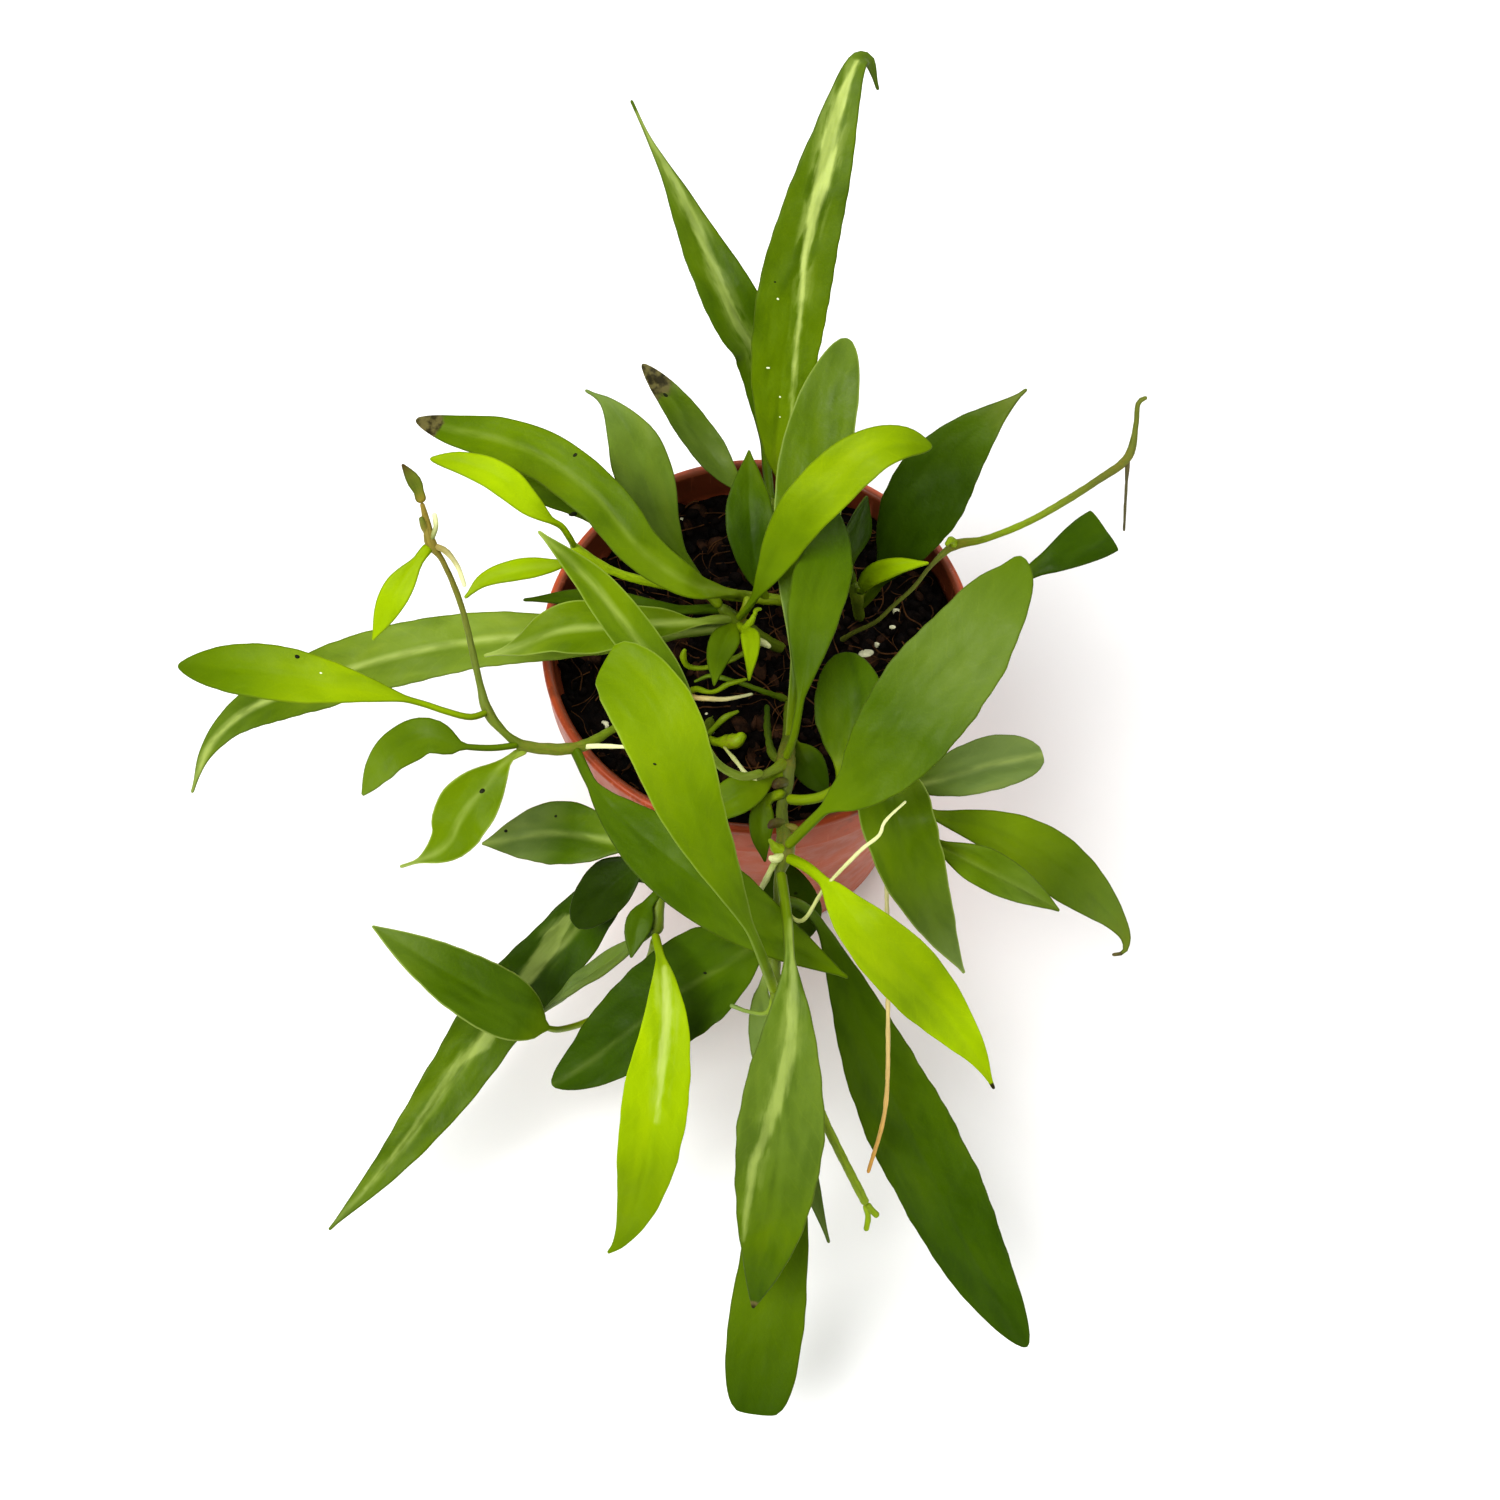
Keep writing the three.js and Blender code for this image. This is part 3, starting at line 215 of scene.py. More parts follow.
class Skin:
    """Closed bodies gathered into one mesh, with facts about each of their points."""

    def __init__(self):
        self.points, self.faces, self.facts, self.count = [], [], {}, 0

    def add(self, rings, **facts):
        rows, sides = rings.shape[:2]
        self.points.append(rings.reshape(-1, 3))
        for name, fact in facts.items():
            wide = np.broadcast_to(fact, (rows, sides) + np.shape(fact)[2:])
            self.facts.setdefault(name, []).append(wide.reshape(rows * sides, -1))
        number = self.count + np.arange(rows * sides).reshape(rows, sides)
        beside = np.roll(number, -1, axis=1)
        quads = np.stack([number[:-1], beside[:-1], beside[1:], number[1:]], -1)
        self.faces.extend(quads.reshape(-1, 4).tolist())
        self.faces.extend([number[0, ::-1].tolist(), number[-1].tolist()])
        self.count += rows * sides

    def make(self, name, finish, nodes=()):
        mesh = bpy.data.meshes.new(name)
        mesh.from_pydata((np.vstack(self.points) * MM).tolist(), [], self.faces)
        mesh.polygons.foreach_set("use_smooth", [True] * len(mesh.polygons))
        for fact, parts in self.facts.items():
            values = np.vstack(parts).astype(np.float32)
            kind, field = {1: ("FLOAT", "value"), 3: ("FLOAT_VECTOR", "vector")}[values.shape[1]]
            mesh.attributes.new(fact, kind, "POINT").data.foreach_set(field, values.ravel())
        mesh.materials.append(finish)
        piece = bpy.data.objects.new(name, mesh)
        bpy.context.scene.collection.objects.link(piece)
        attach(piece, "root")
        if nodes:
            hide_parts(*nodes)
        return piece


print("a body 50 mm long gets", len(stations(50, 1.2, 1, 0.4)), "rings at 1.2 mm steps")

# %% [markdown]
# ## Colours
#
# Colours are written as a screen shows them, from 0 to 255, because that is how one compares them
# with a real leaf. Materials calculate with light, so each colour is changed to its linear value.

# %% Colours
def srgb(red, green, blue):
    """Linear light from the values that a screen shows, by the sRGB formula."""
    share = np.array([red, green, blue]) / 255
    return np.where(share <= 0.04045, share / 12.92, ((share + 0.055) / 1.055) ** 2.4)


NIGHT = srgb(38, 56, 0)
DEEP = srgb(53, 77, 0)
FOREST = srgb(69, 93, 0)
MOSS = srgb(82, 105, 4)
GRASS = srgb(96, 120, 0)
BRIGHT = srgb(113, 137, 0)
LIME = srgb(127, 150, 0)
YELLOW_LIME = srgb(144, 170, 0)
PALE_GREEN = srgb(120, 142, 44)
SAGE = srgb(93, 114, 36)
# Haze is partly the grey bloom of some leaves and partly painted sheen: the pale grey-green that gloss
# shows where light reflects, put into the leaves' own tones.
BLOOM_AND_PAINTED_SHEEN = srgb(114, 134, 68)
OLIVE = srgb(98, 110, 34)
STALK = srgb(122, 143, 12)
STEM_GREEN = srgb(100, 118, 22)
STEM_BROWN = srgb(98, 106, 34)
STRAW = srgb(168, 176, 96)
CREAM = srgb(224, 226, 170)
TAN = srgb(190, 142, 66)
ROOT_GREY = srgb(84, 80, 52)
NODE_BROWN = srgb(134, 116, 44)
TERRACOTTA = srgb(168, 74, 36)
PEAT = srgb(34, 22, 15)
BARK = srgb(70, 44, 26)
COIR = srgb(134, 90, 50)
PERLITE = srgb(226, 224, 190)
print("deep leaf green in linear light:", np.round(DEEP, 3))

# %% [markdown]
# ## Building a material
#
# A material in Blender is a graph of nodes. Clicking it together is fine for one, but this plant has
# sixteen that share their parts. A small helper that adds a node, sets or links its inputs and returns
# its output keeps each of them short, and lets the graph read like a formula.

# %% A helper for materials
class Finish:
    """A material whose nodes are added by calls that read like a formula."""

    def __init__(self, name, surface):
        self.material = bpy.data.materials.new(name)
        self.material.use_nodes = True
        self.tree = self.material.node_tree
        self.tree.nodes.clear()
        self.surface = self.tree.nodes.new("ShaderNodeBsdfPrincipled")
        output = self.tree.nodes.new("ShaderNodeOutputMaterial")
        self.tree.links.new(self.surface.outputs[0], output.inputs["Surface"])
        self.set(self.surface, surface)

    def set(self, node, inputs):
        for name, value in inputs.items():
            socket = node.inputs[name]
            if isinstance(value, bpy.types.NodeSocket):
                self.tree.links.new(value, socket)
            elif socket.type == "RGBA":
                socket.default_value = (*value, 1)
            else:
                socket.default_value = value

    def add(self, kind, inputs, output=0, **settings):
        node = self.tree.nodes.new("ShaderNode" + kind)
        for name, value in settings.items():
            setattr(node, name, value)
        self.set(node, inputs)
        return node.outputs[output]

    def math(self, operation, first, second=0.0, third=0.0):
        return self.add("Math", {0: first, 1: second, 2: third}, operation=operation)

    def ease(self, value, low, high, start=0.0, end=1.0):
        settings = {"Value": value, "From Min": low, "From Max": high, "To Min": start, "To Max": end}
        return self.add("MapRange", settings, interpolation_type="SMOOTHSTEP")

    def noise(self, vector, scale, detail=2.0):
        return self.add("TexNoise", {"Vector": vector, "Scale": scale, "Detail": detail})

    def blend(self, share, first, second, how="MIX"):
        colours = {0: share, 6: first, 7: second}
        return self.add("Mix", colours, output=2, data_type="RGBA", blend_type=how)

    def fact(self, name, output="Fac"):
        return self.add("Attribute", {}, output, attribute_name=name)

    def parts(self, vector):
        return self.add("SeparateXYZ", {"Vector": vector}).node.outputs

    def place(self):
        return self.add("TexCoord", {}, "Object")

    def stretch(self, vector, x, y, z):
        return self.add("Mapping", {"Vector": vector, "Scale": (x, y, z)})

    def raised(self, height, depth, under=None):
        inputs = {"Height": height, "Distance": depth, "Strength": 1.0}
        if under is not None:
            inputs["Normal"] = under
        return self.add("Bump", inputs)


print("materials are made from", len(Finish.__dict__), "small helpers")

# %% [markdown]
# ## What a leaf is made of
#
# Each leaf of this plant is a thick, slightly rubbery blade on a short round stalk. It is thickest
# at the midrib, its margin is rounded, and both halves rise a little from the midrib. The outline
# widens and narrows as a sine does, which needs four numbers instead of a traced outline. On top
# the midrib is a shallow groove, below it a keel, and slow waves keep the gloss from being perfect.

# %% Points across a blade
HALF_COLUMNS = np.array([0, 0.05, 0.12, 0.24, 0.4, 0.57, 0.73, 0.86, 0.94, 0.983, 1])
TOP_COLUMNS = np.concatenate([-HALF_COLUMNS[:0:-1], HALF_COLUMNS])
BLADE_COLUMNS = np.concatenate([TOP_COLUMNS, TOP_COLUMNS[-2:0:-1]])
UNDERSIDE = np.repeat([0, 1], [len(TOP_COLUMNS), len(TOP_COLUMNS) - 2])
print("a ring of a blade has", len(BLADE_COLUMNS), "points, closest together at margin and midrib")

# %% [markdown]
# ## Outline and unevenness
#
# No two leaves are alike. A little irregularity could be drawn at random for each point, but that
# gives a rough surface. Sines of several lengths, started at random, wander slowly and stay smooth.
# Each leaf's name starts its own draw, so the same leaf comes out each time.

# %% Outline and unevenness
PETIOLE_WIDTH, TIP_WIDTH = 2.1, 0.6
NECK_ROUNDNESS = 0.5
WAVES = np.array([0.31, 0.53, 0.83, 1.31])
FIRST_LETTER_WEIGHT = 7


def wander(*lengths, seed):
    """A slow, smooth, repeatable unevenness between about -1 and 1."""
    draw = np.random.default_rng(
        sum(ord(letter) * (FIRST_LETTER_WEIGHT + place) for place, letter in enumerate(seed)))
    turns = draw.uniform(0, 2 * math.pi, (len(WAVES), len(lengths)))
    leans = draw.uniform(0.7, 1.3, (len(WAVES), len(lengths)))
    return sum(
        math.prod(np.sin(pitch * lean * length + turn) for length, lean, turn in zip(lengths, *both))
        for pitch, *both in zip(WAVES, leans, turns)) / 2


def half_width(width, petiole, stalk, widest, base_taper, tip_taper, along):
    """Half the blade's width at each share of the leaf's length."""
    place = np.clip((along - petiole) / (1 - petiole), 0, 1)
    rise = np.sin(math.pi / 2 * np.minimum(place / widest, 1)) ** base_taper
    fall = np.sin(math.pi / 2 * np.minimum((1 - place) / (1 - widest), 1)) ** tip_taper
    least = mix(stalk * PETIOLE_WIDTH, TIP_WIDTH, smooth(along, 0, 1))
    blade = width * np.minimum(rise, fall)
    return (blade + least + np.hypot(blade - least, NECK_ROUNDNESS)) / 4


middle_width = 2 * half_width(18, 0.12, 1, 0.45, 1.2, 1.0, np.array([0.5]))[0]
print(f"a blade 18 mm wide is {middle_width:.1f} mm wide halfway along")

# %% [markdown]
# ## The section of a blade
#
# Cut across, a stalk is nearly round and a blade is a flat lens with a groove on top and a keel
# below. Both come from one formula whose exponent grows from stalk to blade. The fold and the waves
# lift the margin from the midrib, and the whole section may roll as it goes along the leaf.

# %% The section of a blade
RIB_THICKNESS, EDGE_THICKNESS, TIP_THICKNESS = 1.3, 0.7, 0.75
PETIOLE_THICKNESS, PETIOLE_EDGE = 2.1, 1.9
PETIOLE_EXPONENT, BLADE_EXPONENT = 2, 7
GROOVE_DEPTH, GROOVE_REACH = 0.5, 0.6
KEEL_DEPTH, KEEL_REACH = 0.3, 0.9
ROUND_BEND, SHARP_BEND = 2.1, 1.2
RIPPLE_LAG = 2
SWELL = 0.22
HALF_UP = np.array([0, 0, 0.5])


def directions(centre, heading, roll, along):
    """Out of the blade's top and towards its margin, square to the midrib and then rolled."""
    facing = unit(EYE - centre) / 2 + HALF_UP
    facing = unit(facing - heading * np.sum(facing * heading, axis=1, keepdims=True))
    turn = np.radians(mix(*roll, along))[:, None]
    facing = facing * np.cos(turn) + np.cross(heading, facing) * np.sin(turn)
    return facing, np.cross(heading, facing)


def faces_of_blade(reach, size, full, end, stalk, crease):
    """Heights of the blade's two faces over its middle layer."""
    thick = mix(mix(stalk * PETIOLE_THICKNESS, RIB_THICKNESS, full), TIP_THICKNESS, end)
    thin = mix(mix(stalk * PETIOLE_EDGE, EDGE_THICKNESS, full), TIP_THICKNESS, end)
    deep = mix(thick, thin, size) / 2 * np.sqrt(1 - size ** mix(PETIOLE_EXPONENT, BLADE_EXPONENT, full))
    groove = crease * GROOVE_DEPTH * full * (1 - end) * np.exp(-(reach / GROOVE_REACH) ** 2)
    keel = KEEL_DEPTH * full * (1 - end) * np.exp(-(reach / KEEL_REACH) ** 2)
    return np.where(UNDERSIDE == 1, -deep - keel, deep - groove)


def lift_of_blade(half, side, run, along, full, end, crease, tilt, wave, waves, seed):
    """How far the fold, the waves and a slow swell raise the middle layer over the midrib."""
    size = np.abs(side)
    bend = size ** mix(ROUND_BEND, SHARP_BEND, crease)
    ripple = wave * full * (1 - end) * bend
    lift = half * np.sin(tilt) * bend
    lift = lift + ripple * np.sin(2 * math.pi * waves * along[:, None] + RIPPLE_LAG * (side > 0))
    return lift + SWELL * full * (1 - end) * wander(run / 2, side * half / 2, seed=seed + "lift")


print("a stalk is", PETIOLE_THICKNESS, "mm thick, a midrib", RIB_THICKNESS, "and a margin", EDGE_THICKNESS)

# %% [markdown]
# ## What a leaf knows about itself
#
# A material can't ask how far a point is from the midrib, so the mesh tells it. Each point carries
# its colour, its place along and across the leaf, its distance from the margin, and the stripe's
# place. They could go into images or vertex paint, but plain numbers keep their full precision.

# %% Facts for the materials
def spread(tones, along):
    """Colours given at even steps along a body, read at shares of its length."""
    stops = np.linspace(0, 1, len(tones))
    return np.stack([np.interp(along, stops, channel) for channel in np.transpose(tones)], -1)


def streak(stripe, paleness, along):
    """The stripe's distance from the midrib, its width and its strength, at shares of the length."""
    if not stripe:
        return np.zeros((len(along), 3))
    places, at, wide = np.transpose(stripe)
    return np.stack([np.interp(along, places, at), np.interp(along, places, wide, 0, 0),
                     np.full(len(along), paleness)], -1)


def marks(vein, margin, withered, along):
    """How pale the midrib is, the margin's line (its own dark line below 0, a painted highlight above 0),
    and how far the tip has withered.
    """
    dead = smooth(along, 1 - withered, 1) if withered else 0 * along
    return np.stack([np.full(len(along), vein), np.full(len(along), margin), dead], -1)


halfway = np.array([0.5])
print("halfway between stalk green and deep green:", np.round(spread((STALK, DEEP), halfway)[0], 3))

# %% [markdown]
# ## A whole blade
#
# The blade puts those parts together: a ring of points at each station along the midrib, moved out
# to the margin, lifted by the fold and pressed to its thickness. Both ends close in a short dome.

# %% A whole blade
RING_STEP = 1.25
TIP_START = 0.8
BLADE_START, BLADE_FULL = 0.7, 1.6
MARGIN_WOBBLE = 0.02


def blade(skin, seed, rib, width, petiole=0.12, stalk=1, widest=0.45, base_taper=1.2, tip_taper=1.0,
          fold=12, roll=(0, 0), wave=0, waves=3, tones=(STALK, DEEP), stripe=(), paleness=1, vein=0,
          margin=-0.35, crease=0.4, withered=0):
    """Adds one leaf to a skin, from points of the picture along its midrib, and tells its length."""
    line = Line(seen(rib))
    distance = stations(line.length, RING_STEP, PETIOLE_WIDTH / 2, TIP_WIDTH)
    open_share = closing(distance, line.length, PETIOLE_WIDTH / 2, TIP_WIDTH)[:, None]
    centre, heading, _ = line.at(distance)
    along = distance / line.length
    facing, beside = directions(centre, heading, roll, along)

    full = smooth(along, BLADE_START * petiole, BLADE_FULL * petiole)[:, None]
    end = smooth(along, TIP_START, 1)[:, None]
    side, run = BLADE_COLUMNS[None], distance[:, None]
    size = np.abs(side)
    half = half_width(width, petiole, stalk, widest, base_taper, tip_taper, along)[:, None]
    half = half * (1 + MARGIN_WOBBLE * full * (1 - end) * wander(run, np.sign(side), seed=seed))
    reach = side * half
    tilt = math.radians(fold) * full
    faces = faces_of_blade(reach, size, full, end, stalk, crease)
    lift = lift_of_blade(half, side, run, along, full, end, crease, tilt, wave, waves, seed)
    rings = centre[:, None] + beside[:, None] * (reach * np.cos(tilt) * open_share)[..., None]
    rings = rings + facing[:, None] * (lift * open_share + faces * open_share)[..., None]

    own_pattern = sum(ord(letter) * place for place, letter in enumerate(seed))
    grain = np.stack(np.broadcast_arrays(run + own_pattern, reach, UNDERSIDE), -1)
    skin.add(rings, tint=spread(tones, along)[:, None], stripe=streak(stripe, paleness, along)[:, None],
             grain=grain, marks=marks(vein, margin, withered, along)[:, None],
             shore=(half * (1 - size))[..., None])
    return line.length


trial = Skin()
length = blade(trial, "trial", EXAMPLE_MIDRIB, 18)
print(f"a blade {length:.0f} mm long has {trial.count} points and {len(trial.faces)} faces")

# %% [markdown]
# ## The finish of a leaf
#
# The skin of a leaf is waxy: a soft, broad gloss over colour that comes from inside. Its green
# clouds a little, side veins show faintly, the midrib is often paler, some leaves carry a pale
# broken stripe, and the margin has a fine dark line of its own, which on some leaves gives way to a
# pale painted highlight. All of that could be painted on an image. Here it is calculated from the
# facts on the mesh, so it stays sharp at any distance, and each leaf gets a pattern of its own. A
# little light scatters under the surface.

# %% Clouded green
WITHERED, WITHERED_DARK = srgb(96, 90, 52), srgb(44, 40, 18)
# The pale stripe's colour, which also paints the highlight along some margins.
PALE_STRIPE_AND_HIGHLIGHT, MARGIN_DARK = srgb(182, 196, 112), srgb(46, 56, 16)
UNDER_PALE, DARK_SPECK = srgb(112, 140, 40), srgb(30, 34, 10)
DARKEN, BRIGHTEN = (0.55, 0.62, 0.5), (1.4, 1.27, 1.2)
CLOUD, FLAME, FLECK = (0.05, 0.17, 2), (0.1, 0.42, 3), (0.5, 0.9, 4)


class LeafFinish(Finish):
    """A leaf's material, and the facts and noises that its layers share."""

    def __init__(self, name, shine):
        super().__init__(name, {
            "Subsurface Weight": 0.1, "Subsurface Radius": (1.0, 1.0, 0.3), "Subsurface Scale": 0.0012,
            "Coat Weight": 0.02, "Coat Roughness": 0.3, "Specular IOR Level": shine})
        self.here = self.place()
        self.grain = self.fact("grain", "Vector")
        self.run, self.reach, self.under = self.parts(self.grain)
        self.away = self.math("ABSOLUTE", self.reach)
        self.cloud = self.drawn_out(*CLOUD)
        self.flame = self.drawn_out(*FLAME)
        self.fleck = self.drawn_out(*FLECK)
        self.tint = self.fact("tint", "Color")
        self.brighter = self.blend(1.0, self.tint, BRIGHTEN, "MULTIPLY")

    def drawn_out(self, lengthwise, crosswise, detail):
        """A noise with so many waves to the millimetre along the leaf and across it."""
        return self.noise(self.stretch(self.grain, lengthwise, crosswise, 1), 1.0, detail)

    def green(self, mottle):
        """The leaf's own green with clouds, flames and flecks; mottle is how strong they are."""
        darker = self.blend(1.0, self.tint, DARKEN, "MULTIPLY")
        colour = self.blend(self.ease(self.cloud, 0.48, 0.66, 0, mottle), self.tint, darker)
        colour = self.blend(self.ease(self.cloud, 0.46, 0.3, 0, mottle), colour, self.brighter)
        colour = self.blend(self.ease(self.flame, 0.48, 0.72, 0, mottle * 0.55), colour, darker)
        return self.blend(self.ease(self.fleck, 0.56, 0.76, 0, mottle * 0.3), colour, self.brighter)


print("clouds in the green are about", 1 / CLOUD[0], "mm long and", round(1 / CLOUD[1], 1), "mm wide")

# %% [markdown]
# ## Veins, stripe and margin
#
# The layers over the green are thin: side veins that leave the midrib at a slant, the pale midrib,
# the pale stripe with its torn edge, and the line along the margin, which is the margin's own dark
# line on most leaves and a painted highlight on some. Each is a mask from 0 to 1 that blends one
# colour over what lies below, as a painter would glaze one coat over another.

# %% Veins and margin
VEIN_SLANT, VEIN_WANDER, VEIN_PITCH = -1.3, 4.0, 0.62
VEIN_STRENGTH = 0.12
MIDRIB_REACH = 1.3
MARGIN_REACH, MARGIN_CORE = 0.45, 0.1


def with_veins(look, colour, vein):
    """Faint side veins, and a midrib that is as pale as vein says."""
    slant = look.math("MULTIPLY_ADD", look.away, VEIN_SLANT, look.run)
    slant = look.math("MULTIPLY_ADD", look.noise(look.here, 180), VEIN_WANDER, slant)
    ridge = look.math("ABSOLUTE", look.math("SINE", look.math("MULTIPLY", slant, VEIN_PITCH)))
    beside_midrib = look.ease(look.away, 0.8, 2.0, 0, VEIN_STRENGTH)
    side_vein = look.math("MULTIPLY", look.ease(ridge, 0.25, 0.0), beside_midrib)
    colour = look.blend(side_vein, colour, look.brighter)
    midrib = look.math("MULTIPLY", look.ease(look.away, MIDRIB_REACH, 0.0), vein)
    midrib = look.math("MULTIPLY", midrib, look.ease(look.flame, 0.62, 0.4, 0.45, 1.0))
    return look.blend(midrib, colour, PALE_STRIPE_AND_HIGHLIGHT)


def with_margin_and_painted_highlight(look, colour, margin):
    """A painted highlight along the margin where margin is above 0, its own dark line where it is below."""
    line = look.ease(look.fact("shore"), MARGIN_REACH, MARGIN_CORE)
    # Above 0 the line is a painted highlight on the rounded margin; below 0 it is the margin's own dark
    # colour.
    pale = look.math("MULTIPLY", line, look.math("MAXIMUM", margin, 0.0))
    colour = look.blend(pale, colour, PALE_STRIPE_AND_HIGHLIGHT)
    dark = look.math("MAXIMUM", look.math("MULTIPLY", margin, -1.0), 0.0)
    return look.blend(look.math("MULTIPLY", line, dark), colour, MARGIN_DARK)


print("side veins stand", round(math.pi / VEIN_PITCH, 1), "mm apart along the midrib")

# %% [markdown]
# ## The pale stripe
#
# The stripe follows the distances that each leaf gave along its midrib. Noise tears its edge, and a
# weaker halo lies round it, as pigment thins out in the real leaf.

# %% The pale stripe
STRIPE_SHARE, STRIPE_EXTRA, STRIPE_TEAR = 0.6, 0.8, -1.6
STRIPE_HALO = 0.4
TORN_EDGE = (0.2, 1.0, 4)


def with_stripe(look, colour):
    """The pale stripe and its halo, where the leaf has one."""
    at, wide, striped = look.parts(look.fact("stripe", "Vector"))
    torn = look.drawn_out(*TORN_EDGE)
    offset = look.math("ABSOLUTE", look.math("SUBTRACT", look.reach, at))
    depth = look.math("SUBTRACT", look.math("MULTIPLY_ADD", wide, STRIPE_SHARE, STRIPE_EXTRA), offset)
    depth = look.math("MULTIPLY_ADD", torn, STRIPE_TEAR, depth)
    solid = look.math("MULTIPLY", look.ease(look.flame, 0.35, 0.65, 1.0, 0.65), striped)
    inside = look.math("MULTIPLY", look.ease(depth, -0.55, 0.6), solid)
    inside = look.math("MULTIPLY", inside, look.ease(wide, 0.1, 0.6))
    halo = look.ease(depth, -2.2, 0.4, 0, STRIPE_HALO)
    halo = look.math("MULTIPLY", halo, look.ease(look.flame, 0.56, 0.4))
    halo = look.math("MULTIPLY", halo, look.math("MULTIPLY", striped, look.ease(wide, 0.3, 1.2)))
    return look.blend(look.math("MAXIMUM", inside, halo), colour, PALE_STRIPE_AND_HIGHLIGHT)


print("a stripe's edge is torn by up to", abs(STRIPE_TEAR), "mm")

# %% [markdown]
# ## Specks, withered tips and gloss
#
# A few cells of a Voronoi pattern hold a dark speck, and a withered tip turns brown in patches. The
# gloss is uneven too: duller where the leaf is withered and below, and broken by fine bumps.

# %% Specks, withered tips and gloss
SPECKS_PER_METRE, SPECK_RARITY, SPECK_STRENGTH = 130, 0.95, 0.85
UNDER_SHARE = 0.3


def with_specks(look, colour):
    """A dark dot in the middle of a few cells of the pattern."""
    near = look.add("TexVoronoi", {"Vector": look.here, "Scale": SPECKS_PER_METRE})
    pick = look.parts(near.node.outputs["Color"])[0]
    dot = look.math("MULTIPLY", look.ease(near, 0.07, 0.035), look.math("GREATER_THAN", pick, SPECK_RARITY))
    return look.blend(look.math("MULTIPLY", dot, SPECK_STRENGTH), colour, DARK_SPECK)


def withered_patches(look, dead):
    """A mask that is 1 where the leaf has turned brown."""
    patch = look.math("MULTIPLY_ADD", look.noise(look.here, 330, 4), 0.8, dead)
    return look.math("MULTIPLY", look.ease(patch, 0.62, 0.8), look.math("GREATER_THAN", dead, 0.001))


def leaf_finish(name, roughness, mottle, shine):
    look = LeafFinish(name, shine)
    vein, margin, dead = look.parts(look.fact("marks", "Vector"))
    colour = with_veins(look, look.green(mottle), vein)
    colour = with_margin_and_painted_highlight(look, with_stripe(look, colour), margin)
    colour = with_specks(look, colour)
    patch = withered_patches(look, dead)
    brown = look.blend(look.ease(look.noise(look.here, 500, 4), 0.4, 0.62), WITHERED_DARK, WITHERED)
    colour = look.blend(patch, colour, brown)
    colour = look.blend(look.math("MULTIPLY", look.under, UNDER_SHARE), colour, UNDER_PALE)

    gloss = look.ease(look.noise(look.here, 420, 4), 0.3, 0.7, roughness - 0.07, roughness + 0.1)
    gloss = look.math("MULTIPLY_ADD", patch, 0.3, look.math("MULTIPLY_ADD", look.under, 0.08, gloss))
    pores = look.raised(look.noise(look.here, 1500, 3), 0.00004)
    dimples = look.raised(look.noise(look.here, 300, 3), 0.0002, pores)
    swells = look.raised(look.cloud, 0.0009, dimples)
    look.set(look.surface, {"Base Color": colour, "Roughness": gloss, "Normal": swells})
    return look.material


leaf_finishes = {
    "leaf_dark": leaf_finish("leaf_dark_waxy", 0.42, 0.45, 0.07),
    "leaf_mid": leaf_finish("leaf_mid_waxy", 0.44, 0.2, 0.07),
    "leaf_lime": leaf_finish("leaf_lime_young", 0.48, 0.26, 0.05),
    "leaf_grey": leaf_finish("leaf_grey_hazy", 0.42, 0.45, 0.14),
    "leaf_striped": leaf_finish("leaf_striped_waxy", 0.42, 0.55, 0.08),
}
print("leaf finishes:", ", ".join(leaf_finishes))

# %% [markdown]
# ## Growing leaves
#
# Every leaf takes the place of one solid of the frame. After a leaf is made, the lesson compares
# its box with that solid's box, because a leaf that has drifted from its stem would be wrong from
# every other side.

# %% Growing leaves
drift = {}


def box_drift(piece, node):
    """The largest difference in millimetres between a piece's box and its solid's box."""
    corners = np.array([vertex.co for vertex in piece.data.vertices])
    low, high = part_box(node)
    return max(np.abs(corners.min(0) - low).max(), np.abs(corners.max(0) - high).max()) / MM


def leaf(node, slot, rib, **shape):
    """One leaf of the plant, in the place of one solid of the frame."""
    skin = Skin()
    blade(skin, node, rib, **shape)
    piece = skin.make(node + "_live", leaf_finishes[slot], [node])
    drift[node] = box_drift(piece, node)


print("leaves are ready to grow")

# %% [markdown]
# ## Stems, twigs and roots
#
# The stems are thin and wiry, a little swollen where leaves stand or stood, with short air roots.
# A curve with a round bevel gives a perfect pipe. Here each stem is a row of rings again, so that
# it can thicken smoothly, waver a little and carry its own colour. The rings are carried along
# without twisting: each ring's direction is the last one, made square to the new heading.

# %% Tubes
TUBE_SIDES = 12
TUBE_STEP = 0.9
WAVES_ALONG, WAVES_ROUND = 1.7, 2.0
UP = np.array([0.0, 0.0, 1.0])
EXAMPLE_STEM = [(790, 690, 60, 1.4), (787, 762, 94, 2), (775, 985, 84, 1.4)]


def carried(heading, start):
    """Directions square to each heading, each turned as little as possible from the last."""
    across = [start]
    for direction in heading:
        across.append(unit(across[-1] - direction * np.dot(across[-1], direction)))
    return np.array(across[1:])


def round_rings(centre, across, beside, radius, angle):
    """Rings about a line, from the two directions square to it."""
    rings = centre[:, None] + across[:, None] * (radius * np.cos(angle))[..., None]
    return rings + beside[:, None] * (radius * np.sin(angle))[..., None]


